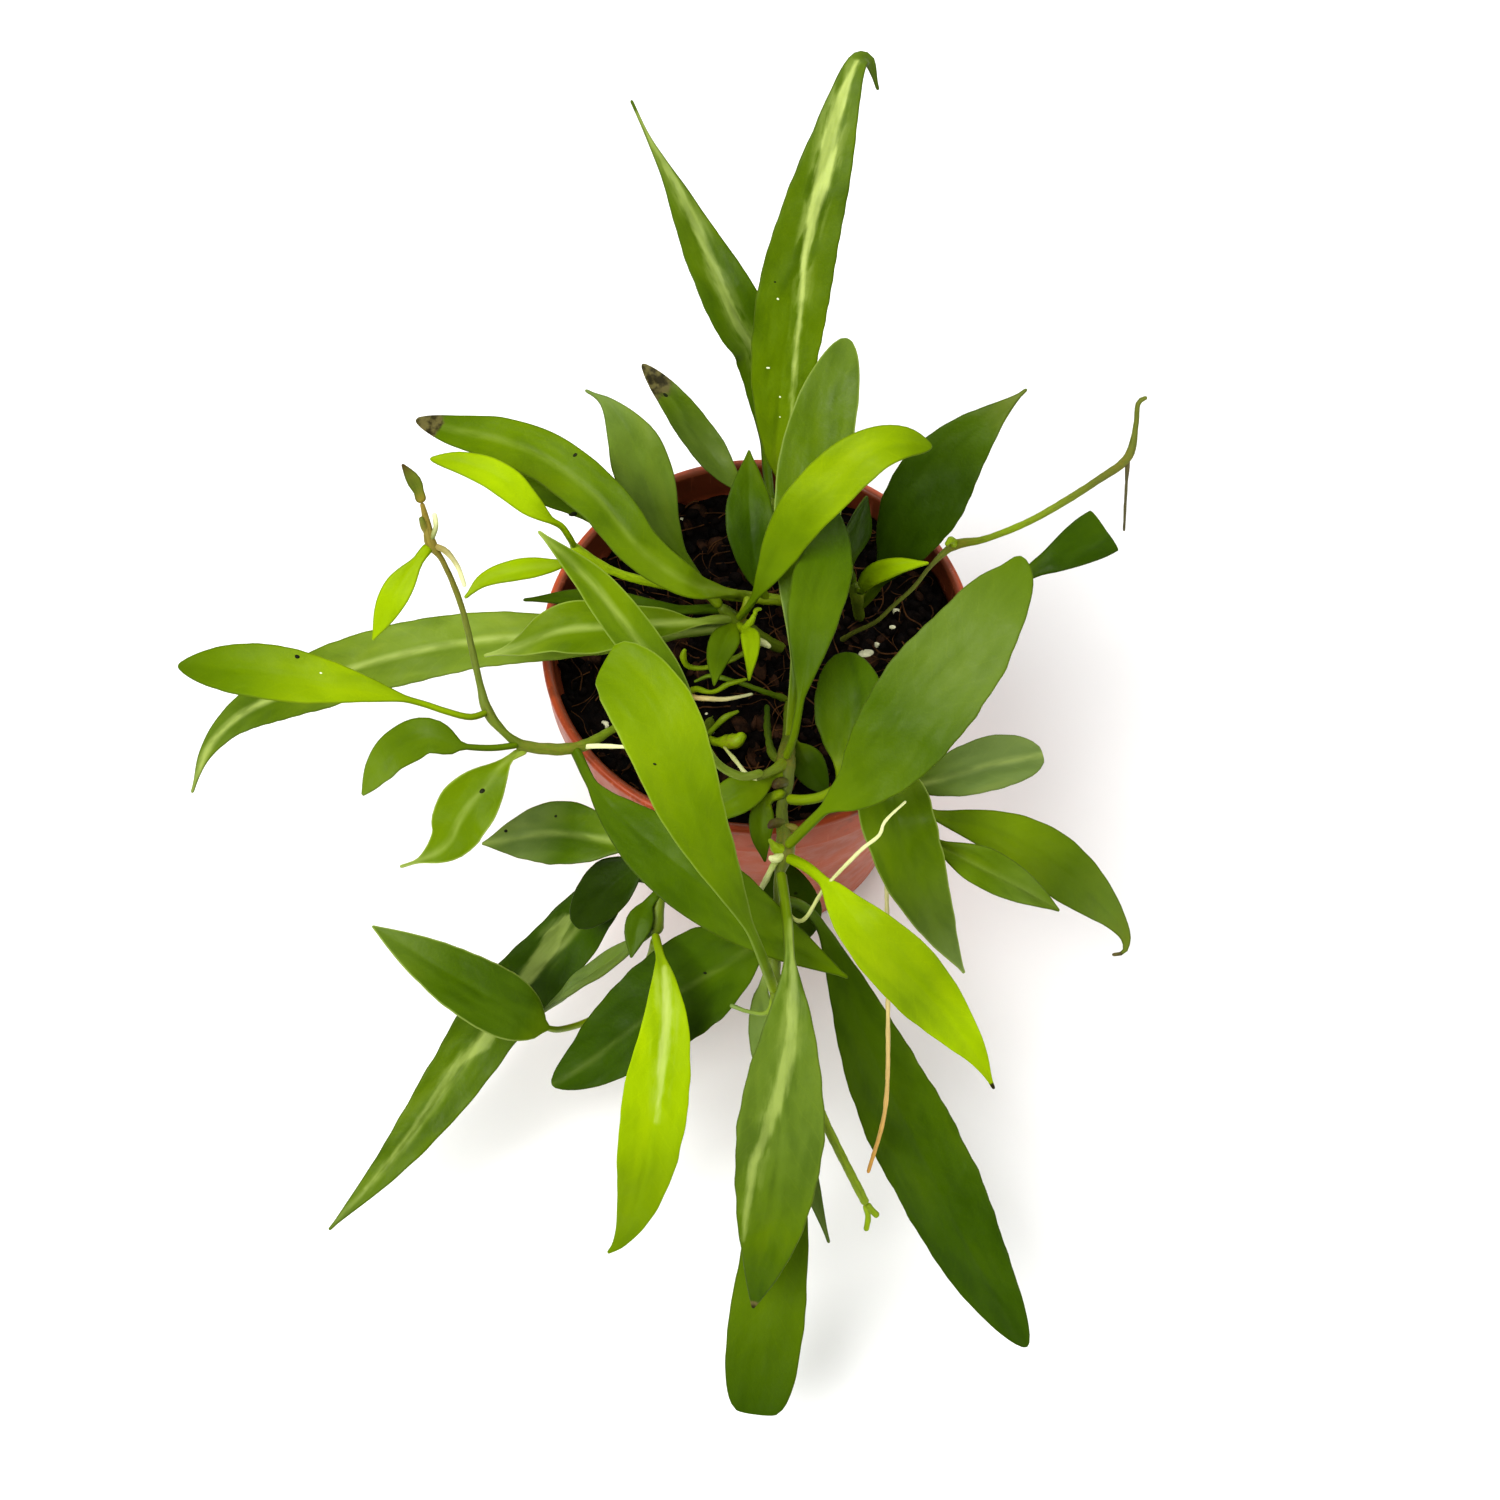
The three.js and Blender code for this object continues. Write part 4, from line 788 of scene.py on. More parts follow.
def tube(skin, seed, path, tones, uneven=0.06, sides=TUBE_SIDES):
    """A round body along points of the picture, with a radius at each."""
    path = np.asarray(path, float)
    line = Line(seen(path))
    first, last = path[0, 3], path[-1, 3]
    distance = stations(line.length, TUBE_STEP, first, last)
    centre, heading, place = line.at(distance)
    span = np.minimum(place.astype(int), len(path) - 2)
    radius = mix(path[span, 3], path[span + 1, 3], smooth(place - span, 0, 1))
    radius = (radius * closing(distance, line.length, first, last))[:, None]
    across = carried(heading, UP)
    beside = np.cross(heading, across)
    angle = 2 * math.pi * np.arange(sides) / sides
    waver = wander(distance[:, None] * WAVES_ALONG, np.cos(angle) * WAVES_ROUND, seed=seed)
    radius = radius * (1 + uneven * waver)
    rings = round_rings(centre, across, beside, radius, angle)
    along = distance / line.length
    grain = np.stack(np.broadcast_arrays(distance[:, None], np.cos(angle), np.sin(angle)), -1)
    swelling = np.interp(place, np.arange(len(path)), path[:, 3]) / path[:, 3].mean()
    skin.add(rings, tint=spread(tones, along)[:, None], grain=grain, swelling=swelling[:, None, None])


trial = Skin()
tube(trial, "trial", EXAMPLE_STEM, (STEM_GREEN, STALK))
print("a stem of three points has", trial.count, "points in its rings")

# %% [markdown]
# ## The finish of stems
#
# A young stem is smooth and green, an older one is dull, with lengthwise streaks, small corky dots
# and brown rings at its nodes. The streaks come from noise that is stretched along the stem.

# %% Stem finish
STREAK_DARK, STREAK_BRIGHT = (0.5, 0.52, 0.45), (1.35, 1.3, 1.2)


def stem_finish(name, roughness, age):
    look = Finish(name, {"Subsurface Weight": 0.08, "Subsurface Radius": (1.0, 1.0, 0.4),
                         "Subsurface Scale": 0.001, "Specular IOR Level": 0.25})
    place = look.place()
    grain = look.fact("grain", "Vector")
    streak = look.noise(look.stretch(grain, 0.35, 2.2, 2.2), 1.0, 4)
    cork = look.noise(look.stretch(grain, 1.6, 3.0, 3.0), 1.0, 3)
    colour = look.fact("tint", "Color")
    darker = look.blend(1.0, colour, STREAK_DARK, "MULTIPLY")
    brighter = look.blend(1.0, colour, STREAK_BRIGHT, "MULTIPLY")
    colour = look.blend(look.ease(streak, 0.5, 0.75, 0, 0.6), colour, darker)
    colour = look.blend(look.ease(streak, 0.45, 0.25, 0, 0.5), colour, brighter)
    colour = look.blend(look.ease(cork, 0.6, 0.7, 0, age), colour, NODE_BROWN)
    swollen = look.ease(look.fact("swelling"), 1.1, 1.5, 0, 0.45)
    colour = look.blend(look.math("MULTIPLY", swollen, look.ease(cork, 0.35, 0.6)), colour, NODE_BROWN)
    rough = look.ease(cork, 0.3, 0.7, roughness - 0.08, roughness + 0.15)
    bark = look.raised(streak, 0.00012)
    bark = look.raised(look.noise(place, 1400, 3), 0.0001, bark)
    look.set(look.surface, {"Base Color": colour, "Roughness": rough, "Normal": bark})
    return look.material


stem_finishes = {
    "stem": stem_finish("stem_green_wiry", 0.48, 0.25),
    "stem_brown": stem_finish("stem_older_corky", 0.6, 0.6),
}
print("stem finishes:", ", ".join(stem_finishes))

# %% [markdown]
# ## Growing stems
#
# A stem is given as points of the picture with a radius at each. Twigs are its side roots, buds
# and cut ends, each in its own colour. A leaflet is a leaf too small and young to stand alone: it
# is made with the leaf's shape and finish, and rides beside its stem.

# %% Growing stems
TWIG_SIDES, TWIG_UNEVEN = 10, 0.14


def stem(node, path, tones=(STEM_GREEN, STEM_GREEN), twigs=(), leaflets=()):
    """One stem with its twigs, in the place of one solid, and its leaflets as pieces beside it."""
    slot = "stem_brown" if node == "stem_right_bare" else "stem"
    skin = Skin()
    tube(skin, node, path, tones)
    for number, (root, tip, twig) in enumerate(twigs):
        tube(skin, f"{node}{number}", twig, (root, tip), TWIG_UNEVEN, TWIG_SIDES)
    piece = skin.make(node + "_live", stem_finishes[slot], [node])
    drift[node] = box_drift(piece, node)
    for number, leaflet in enumerate(leaflets):
        small = Skin()
        blade(small, f"{node}leaflet{number}", **leaflet)
        small.make(f"{node}_leaflet_{number + 1}", leaf_finishes["leaf_lime"])


print("stems are ready to grow")

# %% [markdown]
# ## The stems on the left
#
# One stem climbs out to the left over the rim and ends in small buds. Rootlets, buds and cut ends
# are twigs of their stem: each has its own few points, and one colour at its root and one at its tip.

# %% The stems on the left
stem("stem_left", [
    (700, 690, 60, 1.1), (660, 705, 82, 0.8), (615, 728, 92, 0.8), (575, 748, 98, 1.2),
    (522, 745, 102, 1.1), (505, 733, 105, 0.8), (488, 712, 108, 1.1), (479, 680, 112, 0.7),
    (461, 605, 122, 0.6), (441, 558, 132, 0.55), (431, 544, 135, 1.1), (427, 524, 138, 0.8),
    (422, 503, 142, 0.45)],
    tones=(STALK, STALK, STEM_GREEN, OLIVE, NODE_BROWN),
    twigs=[
        (NODE_BROWN, OLIVE, [(429, 535, 136, 0.7), (424, 526, 138, 0.7), (421, 517, 140, 0.55)]),
        (OLIVE, CREAM, [(431, 540, 136, 0.6), (436, 526, 138, 0.5), (434, 513, 140, 0.45)]),
        (NODE_BROWN, CREAM, [
            (431, 545, 135, 0.7), (444, 550, 134, 0.6), (457, 565, 131, 0.5), (465, 587, 128, 0.4)]),
        (CREAM, CREAM, [(572, 747, 98, 0.6), (600, 746, 97, 0.5), (626, 747, 96, 0.4)]),
        (TAN, CREAM, [
            (690, 694, 67, 0.7), (699, 698, 74, 0.6), (725, 699, 76, 0.5), (753, 694, 75, 0.35)]),
        (STALK, LIME, [
            (690, 694, 67, 0.7), (697, 689, 77, 0.65), (713, 692, 80, 0.5), (729, 684, 83, 0.55),
            (747, 679, 83.5, 0.35)]),
    ],
    leaflets=[
        dict(rib=[(422, 503, 142), (417, 487, 144), (409, 474, 146), (402, 464, 147)], width=2.7,
             petiole=0.1, tones=(NODE_BROWN, OLIVE, STEM_BROWN, BARK)),
    ])
stem("stem_upper_left", [
    (805, 605, 60, 1.1), (778, 600, 83, 1.2), (750, 597, 87, 1.3), (690, 590, 92, 0.9),
    (615, 572, 100, 0.9), (577, 549, 106, 1), (571, 543, 107, 0.7)],
    tones=(STALK, STALK, LIME, YELLOW_LIME, YELLOW_LIME))
stem("stem_centre", [
    (795, 655, 60, 1.2), (765, 640, 78, 1.3), (737, 622, 88, 1.8), (720, 606, 93, 1.1)],
    twigs=[
        (STALK, YELLOW_LIME, [
            (737, 622, 88, 0.9), (744, 629, 91, 0.9), (750, 623, 94, 0.8), (755, 614, 96, 0.5)]),
        (YELLOW_LIME, LIME, [(755, 616, 96, 0.5), (756, 610, 97, 0.45), (762, 609, 97, 0.35)]),
        (NODE_BROWN, STALK, [(737, 622, 88, 1), (745, 610, 92, 0.9), (748, 596, 94, 0.8)]),
        (STEM_GREEN, YELLOW_LIME, [
            (765, 640, 78, 0.9), (735, 658, 80, 0.6), (703, 668, 81, 0.5), (688, 666, 83, 0.6),
            (683, 656, 86, 0.7), (685, 649, 88, 0.4)]),
        (STALK, CREAM, [
            (765, 640, 78, 0.9), (757, 640, 81, 0.8), (763, 643, 83, 0.8), (771, 647, 83, 0.5)]),
    ],
    leaflets=[
        dict(rib=[(737, 622, 88), (729, 633, 91), (719, 655, 92), (714, 686, 91)], width=6.2,
             petiole=0.06, widest=0.42, tones=(STALK, GRASS, MOSS, GRASS)),
        dict(rib=[(743, 629, 91), (750, 636, 95), (751, 655, 96), (749, 681, 95)], width=4,
             petiole=0.06, widest=0.36, tones=(STALK, YELLOW_LIME, YELLOW_LIME, LIME)),
    ])
print("stems so far:", len(drift))

# %% [markdown]
# ## The stems on the right
#
# A short stem in the crown carries leaves. The bare brown one reaches far out beside the pot, as a
# climbing plant does where it looks for a hold.

# %% The stems on the right
stem("stem_right_centre", [
    (862, 630, 60, 1.1), (858, 608, 76, 1.2), (856, 592, 86, 1.5), (851, 580, 90, 0.9)])
stem("stem_right_bare", [
    (828, 650, 60, 0.8), (853, 633, 76, 0.5), (877, 621, 82, 0.45), (893, 606, 85, 0.45),
    (914, 587, 89, 0.45), (929, 568, 92, 0.45), (946, 551, 94, 0.7), (955, 545, 95, 1.1),
    (985, 539, 100, 0.7), (1030, 521, 107, 0.7), (1067, 500, 113, 0.75), (1098, 480, 119, 0.75),
    (1128, 457, 125, 0.9), (1136, 425, 130, 0.55), (1139, 402, 134, 0.5), (1147, 397, 135, 0.4)],
    tones=(STEM_BROWN, STEM_BROWN, STEM_BROWN, STALK, STEM_BROWN, STEM_BROWN),
    twigs=[
        (ROOT_GREY, ROOT_GREY, [(1128, 457, 125, 0.5), (1126, 490, 118, 0.3), (1124, 531, 110, 0.25)]),
        (YELLOW_LIME, LIME, [(955, 545, 95, 0.9), (951, 540, 98, 0.8), (946, 545, 99, 0.5)]),
    ])
print("stems so far:", len(drift))

# %% [markdown]
# ## The stems in front
#
# The longest stem trails down in front, over the rim, and short roots and buds stand at its nodes.
# The other three carry the leaves at the right, at the front left and at the back.

# %% The stems in front
stem("stem_front", [
    (790, 690, 60, 1.3), (789, 735, 84, 1.3), (786, 762, 93, 1.9), (787, 783, 92, 1.3),
    (782, 806, 90, 1.1), (783, 828, 91, 1.3), (785, 851, 94, 2), (780, 872, 92, 1.1),
    (779, 900, 91, 1.1), (775, 985, 84, 1.3), (800, 1062, 76, 0.9), (826, 1124, 66, 0.9),
    (866, 1204, 49, 0.9)],
    tones=(STEM_GREEN, STEM_GREEN, OLIVE, OLIVE, STEM_GREEN, STALK, STALK),
    twigs=[
        (STEM_GREEN, DEEP, [
            (786, 762, 93, 1.2), (774, 756, 88, 0.9), (768, 735, 82, 0.75), (767, 706, 74, 0.6)]),
        (LIME, OLIVE, [
            (786, 762, 93, 1.3), (776, 769, 95, 1.1), (766, 774, 96, 0.9), (757, 780, 96, 0.4)]),
        (OLIVE, BARK, [(787, 783, 92, 1.1), (779, 783, 94, 1.1), (772, 787, 94, 0.6)]),
        (OLIVE, BARK, [(783, 824, 91, 1.1), (774, 823, 93, 1), (768, 828, 93, 0.5)]),
        (OLIVE, NODE_BROWN, [(783, 828, 91, 1.1), (792, 828, 92, 1), (800, 832, 91, 0.5)]),
        (YELLOW_LIME, LIME, [(785, 851, 94, 1.4), (776, 848, 96, 1), (769, 839, 98, 0.4)]),
        (YELLOW_LIME, CREAM, [(785, 851, 94, 1.4), (776, 859, 95, 1), (769, 857, 96, 0.5)]),
        (STALK, LIME, [(866, 1204, 49, 0.8), (872, 1210, 48, 0.7), (878, 1217, 47, 0.7)]),
        (YELLOW_LIME, LIME, [(866, 1204, 49, 0.8), (868, 1218, 46, 0.6), (866, 1231, 44, 0.5)]),
        (LIME, CREAM, [
            (782, 853, 94, 0.7), (774, 864, 94, 0.7), (766, 880, 92, 0.6), (758, 894, 91, 0.5)]),
        (STRAW, CREAM, [
            (779, 905, 91, 0.5), (801, 921, 93, 0.4), (824, 889, 98, 0.38), (861, 850, 104, 0.38),
            (880, 834, 107, 0.34), (884, 823, 108, 0.34), (906, 801, 110, 0.25)]),
        (STALK, BLOOM_AND_PAINTED_SHEEN, [
            (775, 985, 84, 0.6), (768, 1012, 80, 0.5), (750, 1012, 78, 0.45), (730, 1005, 77, 0.4)]),
        (MOSS, GRASS, [
            (789, 705, 67, 1), (784, 699, 70, 0.8), (765, 692, 76, 0.6), (743, 684, 80, 0.5),
            (722, 678, 81, 0.55), (708, 676, 80, 0.5), (694, 682, 79, 0.3)]),
        (CREAM, STRAW, [
            (758, 779, 95.5, 0.5), (748, 775, 94, 0.45), (736, 761, 90, 0.45), (724, 747, 86, 0.3)]),
    ])
stem("stem_right", [
    (850, 690, 60, 1.2), (866, 735, 79, 1.3), (886, 768, 88, 1.6), (902, 798, 88, 1.3),
    (918, 826, 85, 1.4)],
    twigs=[
        (CREAM, TAN, [
            (902, 798, 88, 0.6), (893, 840, 82, 0.5), (887, 885, 77, 0.45), (888, 940, 75, 0.45),
            (888, 1000, 73, 0.45), (885, 1110, 64, 0.45), (868, 1173, 55, 0.4)]),
    ])
stem("stem_front_left", [
    (720, 700, 60, 1.2), (685, 785, 86, 1.2), (675, 820, 86, 1.2), (666, 850, 80, 1.6),
    (660, 895, 76, 1.1), (655, 935, 72, 1.6)],
    twigs=[
        (MOSS, STALK, [
            (704, 738, 72.5, 0.8), (714, 728, 76, 0.6), (726, 717, 79, 0.7), (739, 711, 79, 0.35)]),
        (STALK, YELLOW_LIME, [
            (704, 738, 72.5, 0.9), (718, 742, 75, 1), (728, 742, 77, 1.5), (736, 741, 79, 1.7),
            (741, 737, 80, 1.2), (743, 733, 81, 0.6)]),
    ])
stem("stem_back", [
    (790, 560, 60, 1.2), (784, 540, 72, 1.2), (779, 515, 81, 1.8), (768, 500, 86, 1.1)])
print("stems grown:", len(drift))

# %% [markdown]
# ## The leaves at the back
#
# Behind the pot stand the tallest leaves. Two of them carry the pale broken stripe along the
# midrib, one has a withered tip, and the young lime leaf arches over all of them.

# %% The leaves at the back
leaf("leaf_back_tall", "leaf_striped", [
    (781, 516, 81), (783, 490, 85), (777, 450, 93), (793, 300, 119), (828, 160, 141), (858, 62, 153),
    (868, 60, 151), (878, 90, 144)],
    width=15, petiole=0.06, widest=0.38, base_taper=0.9, tip_taper=1.05, fold=10,
    tones=(STALK, GRASS, MOSS, MOSS, SAGE), paleness=0.85, crease=0.5,
    stripe=[(0.18, 2.7, 0.3), (0.28, 2.6, 0.6), (0.45, 1.8, 0.9), (0.52, 0.6, 1.2), (0.62, 0, 2.2),
            (0.7, 0, 3.0), (0.77, -0.9, 2.6), (0.84, -0.5, 1.6), (0.9, 0, 0.6)])
leaf("leaf_back_left_striped", "leaf_striped", [
    (771, 505, 84), (766, 455, 82.5), (764, 400, 90), (758, 351, 98.5), (742, 324, 104),
    (725, 291, 109), (701, 245, 114), (670, 179, 122), (649, 139, 127), (631, 100, 132)],
    width=12, widest=0.4, tip_taper=1.9, fold=14, tones=(MOSS, FOREST, FOREST, MOSS, MOSS),
    paleness=0.45, crease=0.6,
    stripe=[(0.3, -1.2, 0.8), (0.45, -1, 1.6), (0.6, 0, 1.8), (0.7, 1, 1.8), (0.85, 0.5, 1.4),
            (0.97, 0, 0.8)])
leaf("leaf_back_withered", "leaf_grey", [
    (767, 499, 86), (737, 485, 93), (699, 438, 99), (668, 396, 105), (642, 364, 108)],
    width=8, tip_taper=0.6, fold=24, tones=(MOSS, SAGE, SAGE, MOSS, OLIVE), withered=0.3)
leaf("leaf_back_short", "leaf_dark", [
    (766, 599, 85), (756, 578, 93), (752, 545, 98), (749, 505, 102), (749, 450, 106)],
    width=10, widest=0.5, fold=10, tones=(STALK, DEEP, DEEP, FOREST, MOSS))
leaf("leaf_back_broad_grey", "leaf_grey", [
    (790, 742, 86), (793, 700, 94), (797, 640, 100), (801, 572, 106), (812, 480, 113), (825, 415, 118),
    (838, 370, 122), (847, 338, 124)],
    width=14.5, petiole=0.15, widest=0.62, tip_taper=0.5, fold=8,
    tones=(STALK, FOREST, MOSS, MOSS, MOSS, SAGE), margin=0.25, crease=0.2)
leaf("leaf_back_lime", "leaf_lime", [
    (738, 619, 89), (752, 602, 100), (772, 566, 113), (798, 520, 124), (832, 483, 131), (868, 454, 136),
    (901, 443, 137), (932, 447, 134)],
    width=11, petiole=0.14, stalk=0.75, widest=0.62, tip_taper=0.6, fold=10,
    tones=(STALK, GRASS, GRASS, GRASS, LIME, LIME, GRASS), crease=0.2)
leaf("leaf_back_right_dark", "leaf_dark", [
    (860, 606, 77), (873, 592, 82), (893, 560, 90), (918, 512, 100), (952, 460, 109), (987, 423, 116),
    (1027, 389, 122)],
    width=16.5, petiole=0.1, tip_taper=1.3, fold=8, tones=(STALK, DEEP, DEEP, DEEP, FOREST, OLIVE),
    crease=0.25)
leaf("leaf_back_right_edge_on", "leaf_grey", [
    (852, 582, 89), (849, 560, 97), (856, 525, 105), (867, 496, 111)],
    width=12, roll=(50, 74), fold=5, tones=(MOSS, DEEP, DEEP))
leaf("leaf_right_small_lime", "leaf_lime", [
    (857, 591, 86), (862, 590, 91), (869, 578, 95), (895, 567, 99), (929, 563, 101)],
    width=4.6, petiole=0.14, stalk=0.6, widest=0.48, fold=8,
    tones=(STALK, GRASS, YELLOW_LIME, YELLOW_LIME, YELLOW_LIME), crease=0.5)
print("leaves and stems so far:", len(drift))

# %% [markdown]
# ## The leaves in the middle
#
# These grow straight up from the crown of the plant, and hide most of the mix.

# %% The leaves in the middle
leaf("leaf_mid_bright", "leaf_mid", [
    (786, 758, 95), (794, 735, 102), (802, 690, 108), (809, 645, 112), (817, 600, 114), (827, 560, 115),
    (838, 512, 115)],
    width=11.5, petiole=0.22, stalk=0.8, widest=0.6, tip_taper=0.8, fold=10,
    tones=(STALK, GRASS, FOREST, MOSS, FOREST, DEEP), crease=0.2)
leaf("leaf_mid_round_dark", "leaf_dark", [
    (787, 799, 93.1), (802, 800, 94.7), (820, 797, 95), (838, 786, 94), (849, 765, 94.5),
    (851, 735, 97), (849, 695, 100), (845, 652, 102)],
    width=14, petiole=0.26, widest=0.6, tip_taper=0.45, fold=6,
    tones=(STALK, STALK, MOSS, FOREST, FOREST), crease=0.2)
leaf("leaf_centre_small_bright", "leaf_mid", [
    (787, 770, 93), (762, 785, 93), (735, 797, 92), (695, 822, 87)],
    width=8, tones=(STALK, GRASS, GRASS))
leaf("leaf_centre_dark", "leaf_dark", [
    (789, 736, 84), (802, 756, 86), (815, 776, 84), (828, 795, 80)],
    width=7, tones=(STALK, FOREST, DEEP))
leaf("leaf_centre_narrow", "leaf_dark", [
    (784, 792, 93), (766, 802, 89), (761, 830, 86), (765, 862, 82)],
    width=5, tones=(STALK, GRASS, MOSS))
print("leaves and stems so far:", len(drift))

# %% [markdown]
# ## The leaves on the right
#
# The broad bright leaf leans over the rim, and the soft grey haze on its upper part is painted
# sheen. Below it hang darker leaves, one folded along its midrib and one with a hooked tip.

# %% The leaves on the right
# The sage tones in the upper part of this leaf are painted sheen, the broad soft gloss it shows there.
leaf("leaf_right_large", "leaf_mid", [
    (787, 846, 96), (830, 805, 108), (858, 785, 114), (876, 766, 118), (911, 721, 125), (929, 696, 128),
    (966, 649, 133), (994, 607, 137), (1015, 576, 138), (1021, 556, 139)],
    width=19, petiole=0.14, widest=0.5, base_taper=1.05, tip_taper=0.57, fold=9,
    tones=(STALK, GRASS, MOSS, FOREST, SAGE, SAGE, MOSS), crease=0.15)
leaf("leaf_far_right_dark", "leaf_dark", [
    (884, 762, 87), (930, 690, 98), (985, 620, 108), (1029, 574, 115), (1057, 558, 118),
    (1106, 530, 118)],
    width=9.8, widest=0.975, base_taper=12, tip_taper=0, fold=5,
    tones=(MOSS, FOREST, FOREST, MOSS, DEEP, DEEP), crease=0.3)
leaf("leaf_right_rounded", "leaf_grey", [
    (892, 782, 88), (912, 785, 88), (950, 777, 89), (1000, 763, 90), (1043, 755, 88)],
    width=11.5, petiole=0.08, widest=0.6, base_taper=0.7, tip_taper=0.45, fold=18,
    tones=(MOSS, SAGE, BLOOM_AND_PAINTED_SHEEN, BLOOM_AND_PAINTED_SHEEN, BLOOM_AND_PAINTED_SHEEN), vein=0.35, crease=0.6)
leaf("leaf_right_hooked", "leaf_mid", [
    (904, 803, 87), (940, 817, 79), (990, 831, 76), (1040, 855, 70), (1082, 887, 63), (1110, 914, 56),
    (1125.7, 938, 52), (1124, 952, 50), (1112, 955, 49)],
    width=12.5, petiole=0.08, widest=0.5, tip_taper=1.4, fold=10,
    tones=(STALK, GRASS, BRIGHT, MOSS, SAGE, OLIVE), crease=0.4, withered=0.05)
leaf("leaf_right_folded", "leaf_dark", [
    (918, 827, 85), (932, 840, 84), (948, 851, 83), (985, 870, 82), (1020, 888, 80), (1047, 903, 77),
    (1059, 911, 75)],
    width=9, petiole=0.08, fold=24, tones=(STALK, GRASS, MOSS, SAGE, MOSS), crease=0.9, vein=0.1)
leaf("leaf_right_front_dark", "leaf_dark", [
    (886, 765, 89), (890, 790, 96), (900, 830, 95), (917, 880, 86), (940, 930, 75), (964, 973, 64)],
    width=14.5, petiole=0.05, widest=0.25, base_taper=0.7, fold=9,
    tones=(STALK, MOSS, MOSS, SAGE, BLOOM_AND_PAINTED_SHEEN), margin=0.3)
print("leaves and stems so far:", len(drift))

# %% [markdown]
# ## The leaves in front
#
# The longest leaves trail over the rim towards us. Two are young and yellow-green, one carries
# a stripe, and the large bright one climbs back over the crown.

# %% The leaves in front
leaf("leaf_front_yellow", "leaf_lime", [
    (787, 857, 94), (808, 868, 97), (830, 888, 99), (845, 908, 98.5), (862, 928, 98), (911, 978, 92),
    (953, 1025, 84), (978, 1057, 79), (994, 1089, 74)],
    width=12.7, petiole=0.15, widest=0.45, base_taper=0.8, tip_taper=1.2, fold=10,
    tones=(YELLOW_LIME, YELLOW_LIME, LIME, BRIGHT, YELLOW_LIME, LIME), withered=0.03, crease=0.3,
    margin=0)
leaf("leaf_front_longest", "leaf_dark", [
    (779, 900, 91), (800, 905, 86), (820, 925, 80), (842, 975, 72), (886, 1083, 58), (936, 1181, 46),
    (980, 1269, 36), (1027, 1347, 27)],
    width=17.3, petiole=0.08, widest=0.55, tip_taper=0.58, fold=8,
    tones=(MOSS, FOREST, FOREST, DEEP, DEEP), wave=0.35, waves=4.5)
leaf("leaf_front_striped", "leaf_striped", [
    (781, 873, 93), (788, 930, 98), (790, 1003, 94), (784, 1087, 84), (778, 1162, 73), (767, 1245, 59),
    (753, 1308, 47)],
    width=16.8, petiole=0.18, widest=0.5, tip_taper=0.85, fold=10,
    tones=(STALK, MOSS, SAGE, SAGE, MOSS, DEEP), paleness=0.45, withered=0.03,
    stripe=[(0.14, -0.8, 0.6), (0.3, -0.5, 1.6), (0.42, -0.4, 2.2), (0.5, 0.9, 2.2), (0.58, 2.7, 1.8),
            (0.65, 4.6, 1.4), (0.78, 4.9, 0.9), (0.84, 4.7, 0.3)])
leaf("leaf_front_lowest", "leaf_mid", [
    (775, 985, 83), (778, 1080, 66), (780, 1180, 52), (774, 1260, 41), (766, 1325, 32),
    (756, 1414.7, 21)],
    width=15.2, widest=0.8, tip_taper=0.22, fold=6, tones=(MOSS, FOREST, FOREST, MOSS, DEEP), crease=0.2)
leaf("leaf_front_narrow", "leaf_dark", [
    (776, 965, 85), (767, 978, 76), (762, 1002, 67), (770, 1050, 57), (797, 1140, 44), (829, 1243, 30)],
    width=8, widest=0.35, fold=12, tones=(STALK, BLOOM_AND_PAINTED_SHEEN, SAGE, BLOOM_AND_PAINTED_SHEEN))
leaf("leaf_front_round_dark", "leaf_dark", [
    (777, 946, 87), (790, 937, 79), (788, 903, 73), (779, 862, 69)],
    width=13, tip_taper=0.6, tones=(FOREST, DEEP))
leaf("leaf_front_lime", "leaf_lime", [
    (655, 934, 74), (662, 966, 77), (665, 1001, 76.5), (665, 1030, 74), (662, 1058, 70.5),
    (657, 1090, 66), (653, 1122, 61), (648, 1153, 56), (642, 1185, 50), (635, 1210, 45),
    (626, 1231, 40), (617, 1245, 37), (608, 1253, 35)],
    width=13.2, petiole=0.06, stalk=0.8, widest=0.48, base_taper=0.95, tip_taper=0.88, fold=10,
    tones=(STALK, YELLOW_LIME, YELLOW_LIME, BRIGHT, GRASS), paleness=0.75, crease=0.4, margin=0,
    stripe=[(0.12, -0.3, 0.8), (0.2, -0.3, 1.5), (0.35, -0.1, 1.6), (0.45, -0.6, 1.0), (0.55, -0.7, 0.4)])
leaf("leaf_front_large_bright", "leaf_mid", [
    (774, 990, 84), (765, 965, 96), (755, 940, 104), (736, 900, 113), (707, 842, 122), (688, 800, 128),
    (674, 760, 133), (657, 720, 137), (638, 690, 139), (620, 672, 140), (603, 664, 140)],
    width=15.1, petiole=0.2, widest=0.8, base_taper=1.4, tip_taper=0.22, fold=6,
    tones=(STALK, MOSS, MOSS, GRASS, BRIGHT, GRASS), crease=0.15, margin=0.15)
leaf("leaf_front_mid_dark", "leaf_dark", [
    (574, 748, 98), (600, 796, 99), (680, 868, 98), (760, 926, 93), (848, 978, 86)],
    width=14.5, petiole=0.08, fold=10, tones=(MOSS, FOREST, FOREST, MOSS, GRASS))
print("leaves and stems so far:", len(drift))

# %% [markdown]
# ## The leaves on the left
#
# Long dark leaves reach out to the left, with the young shoots of the climbing stem over them.

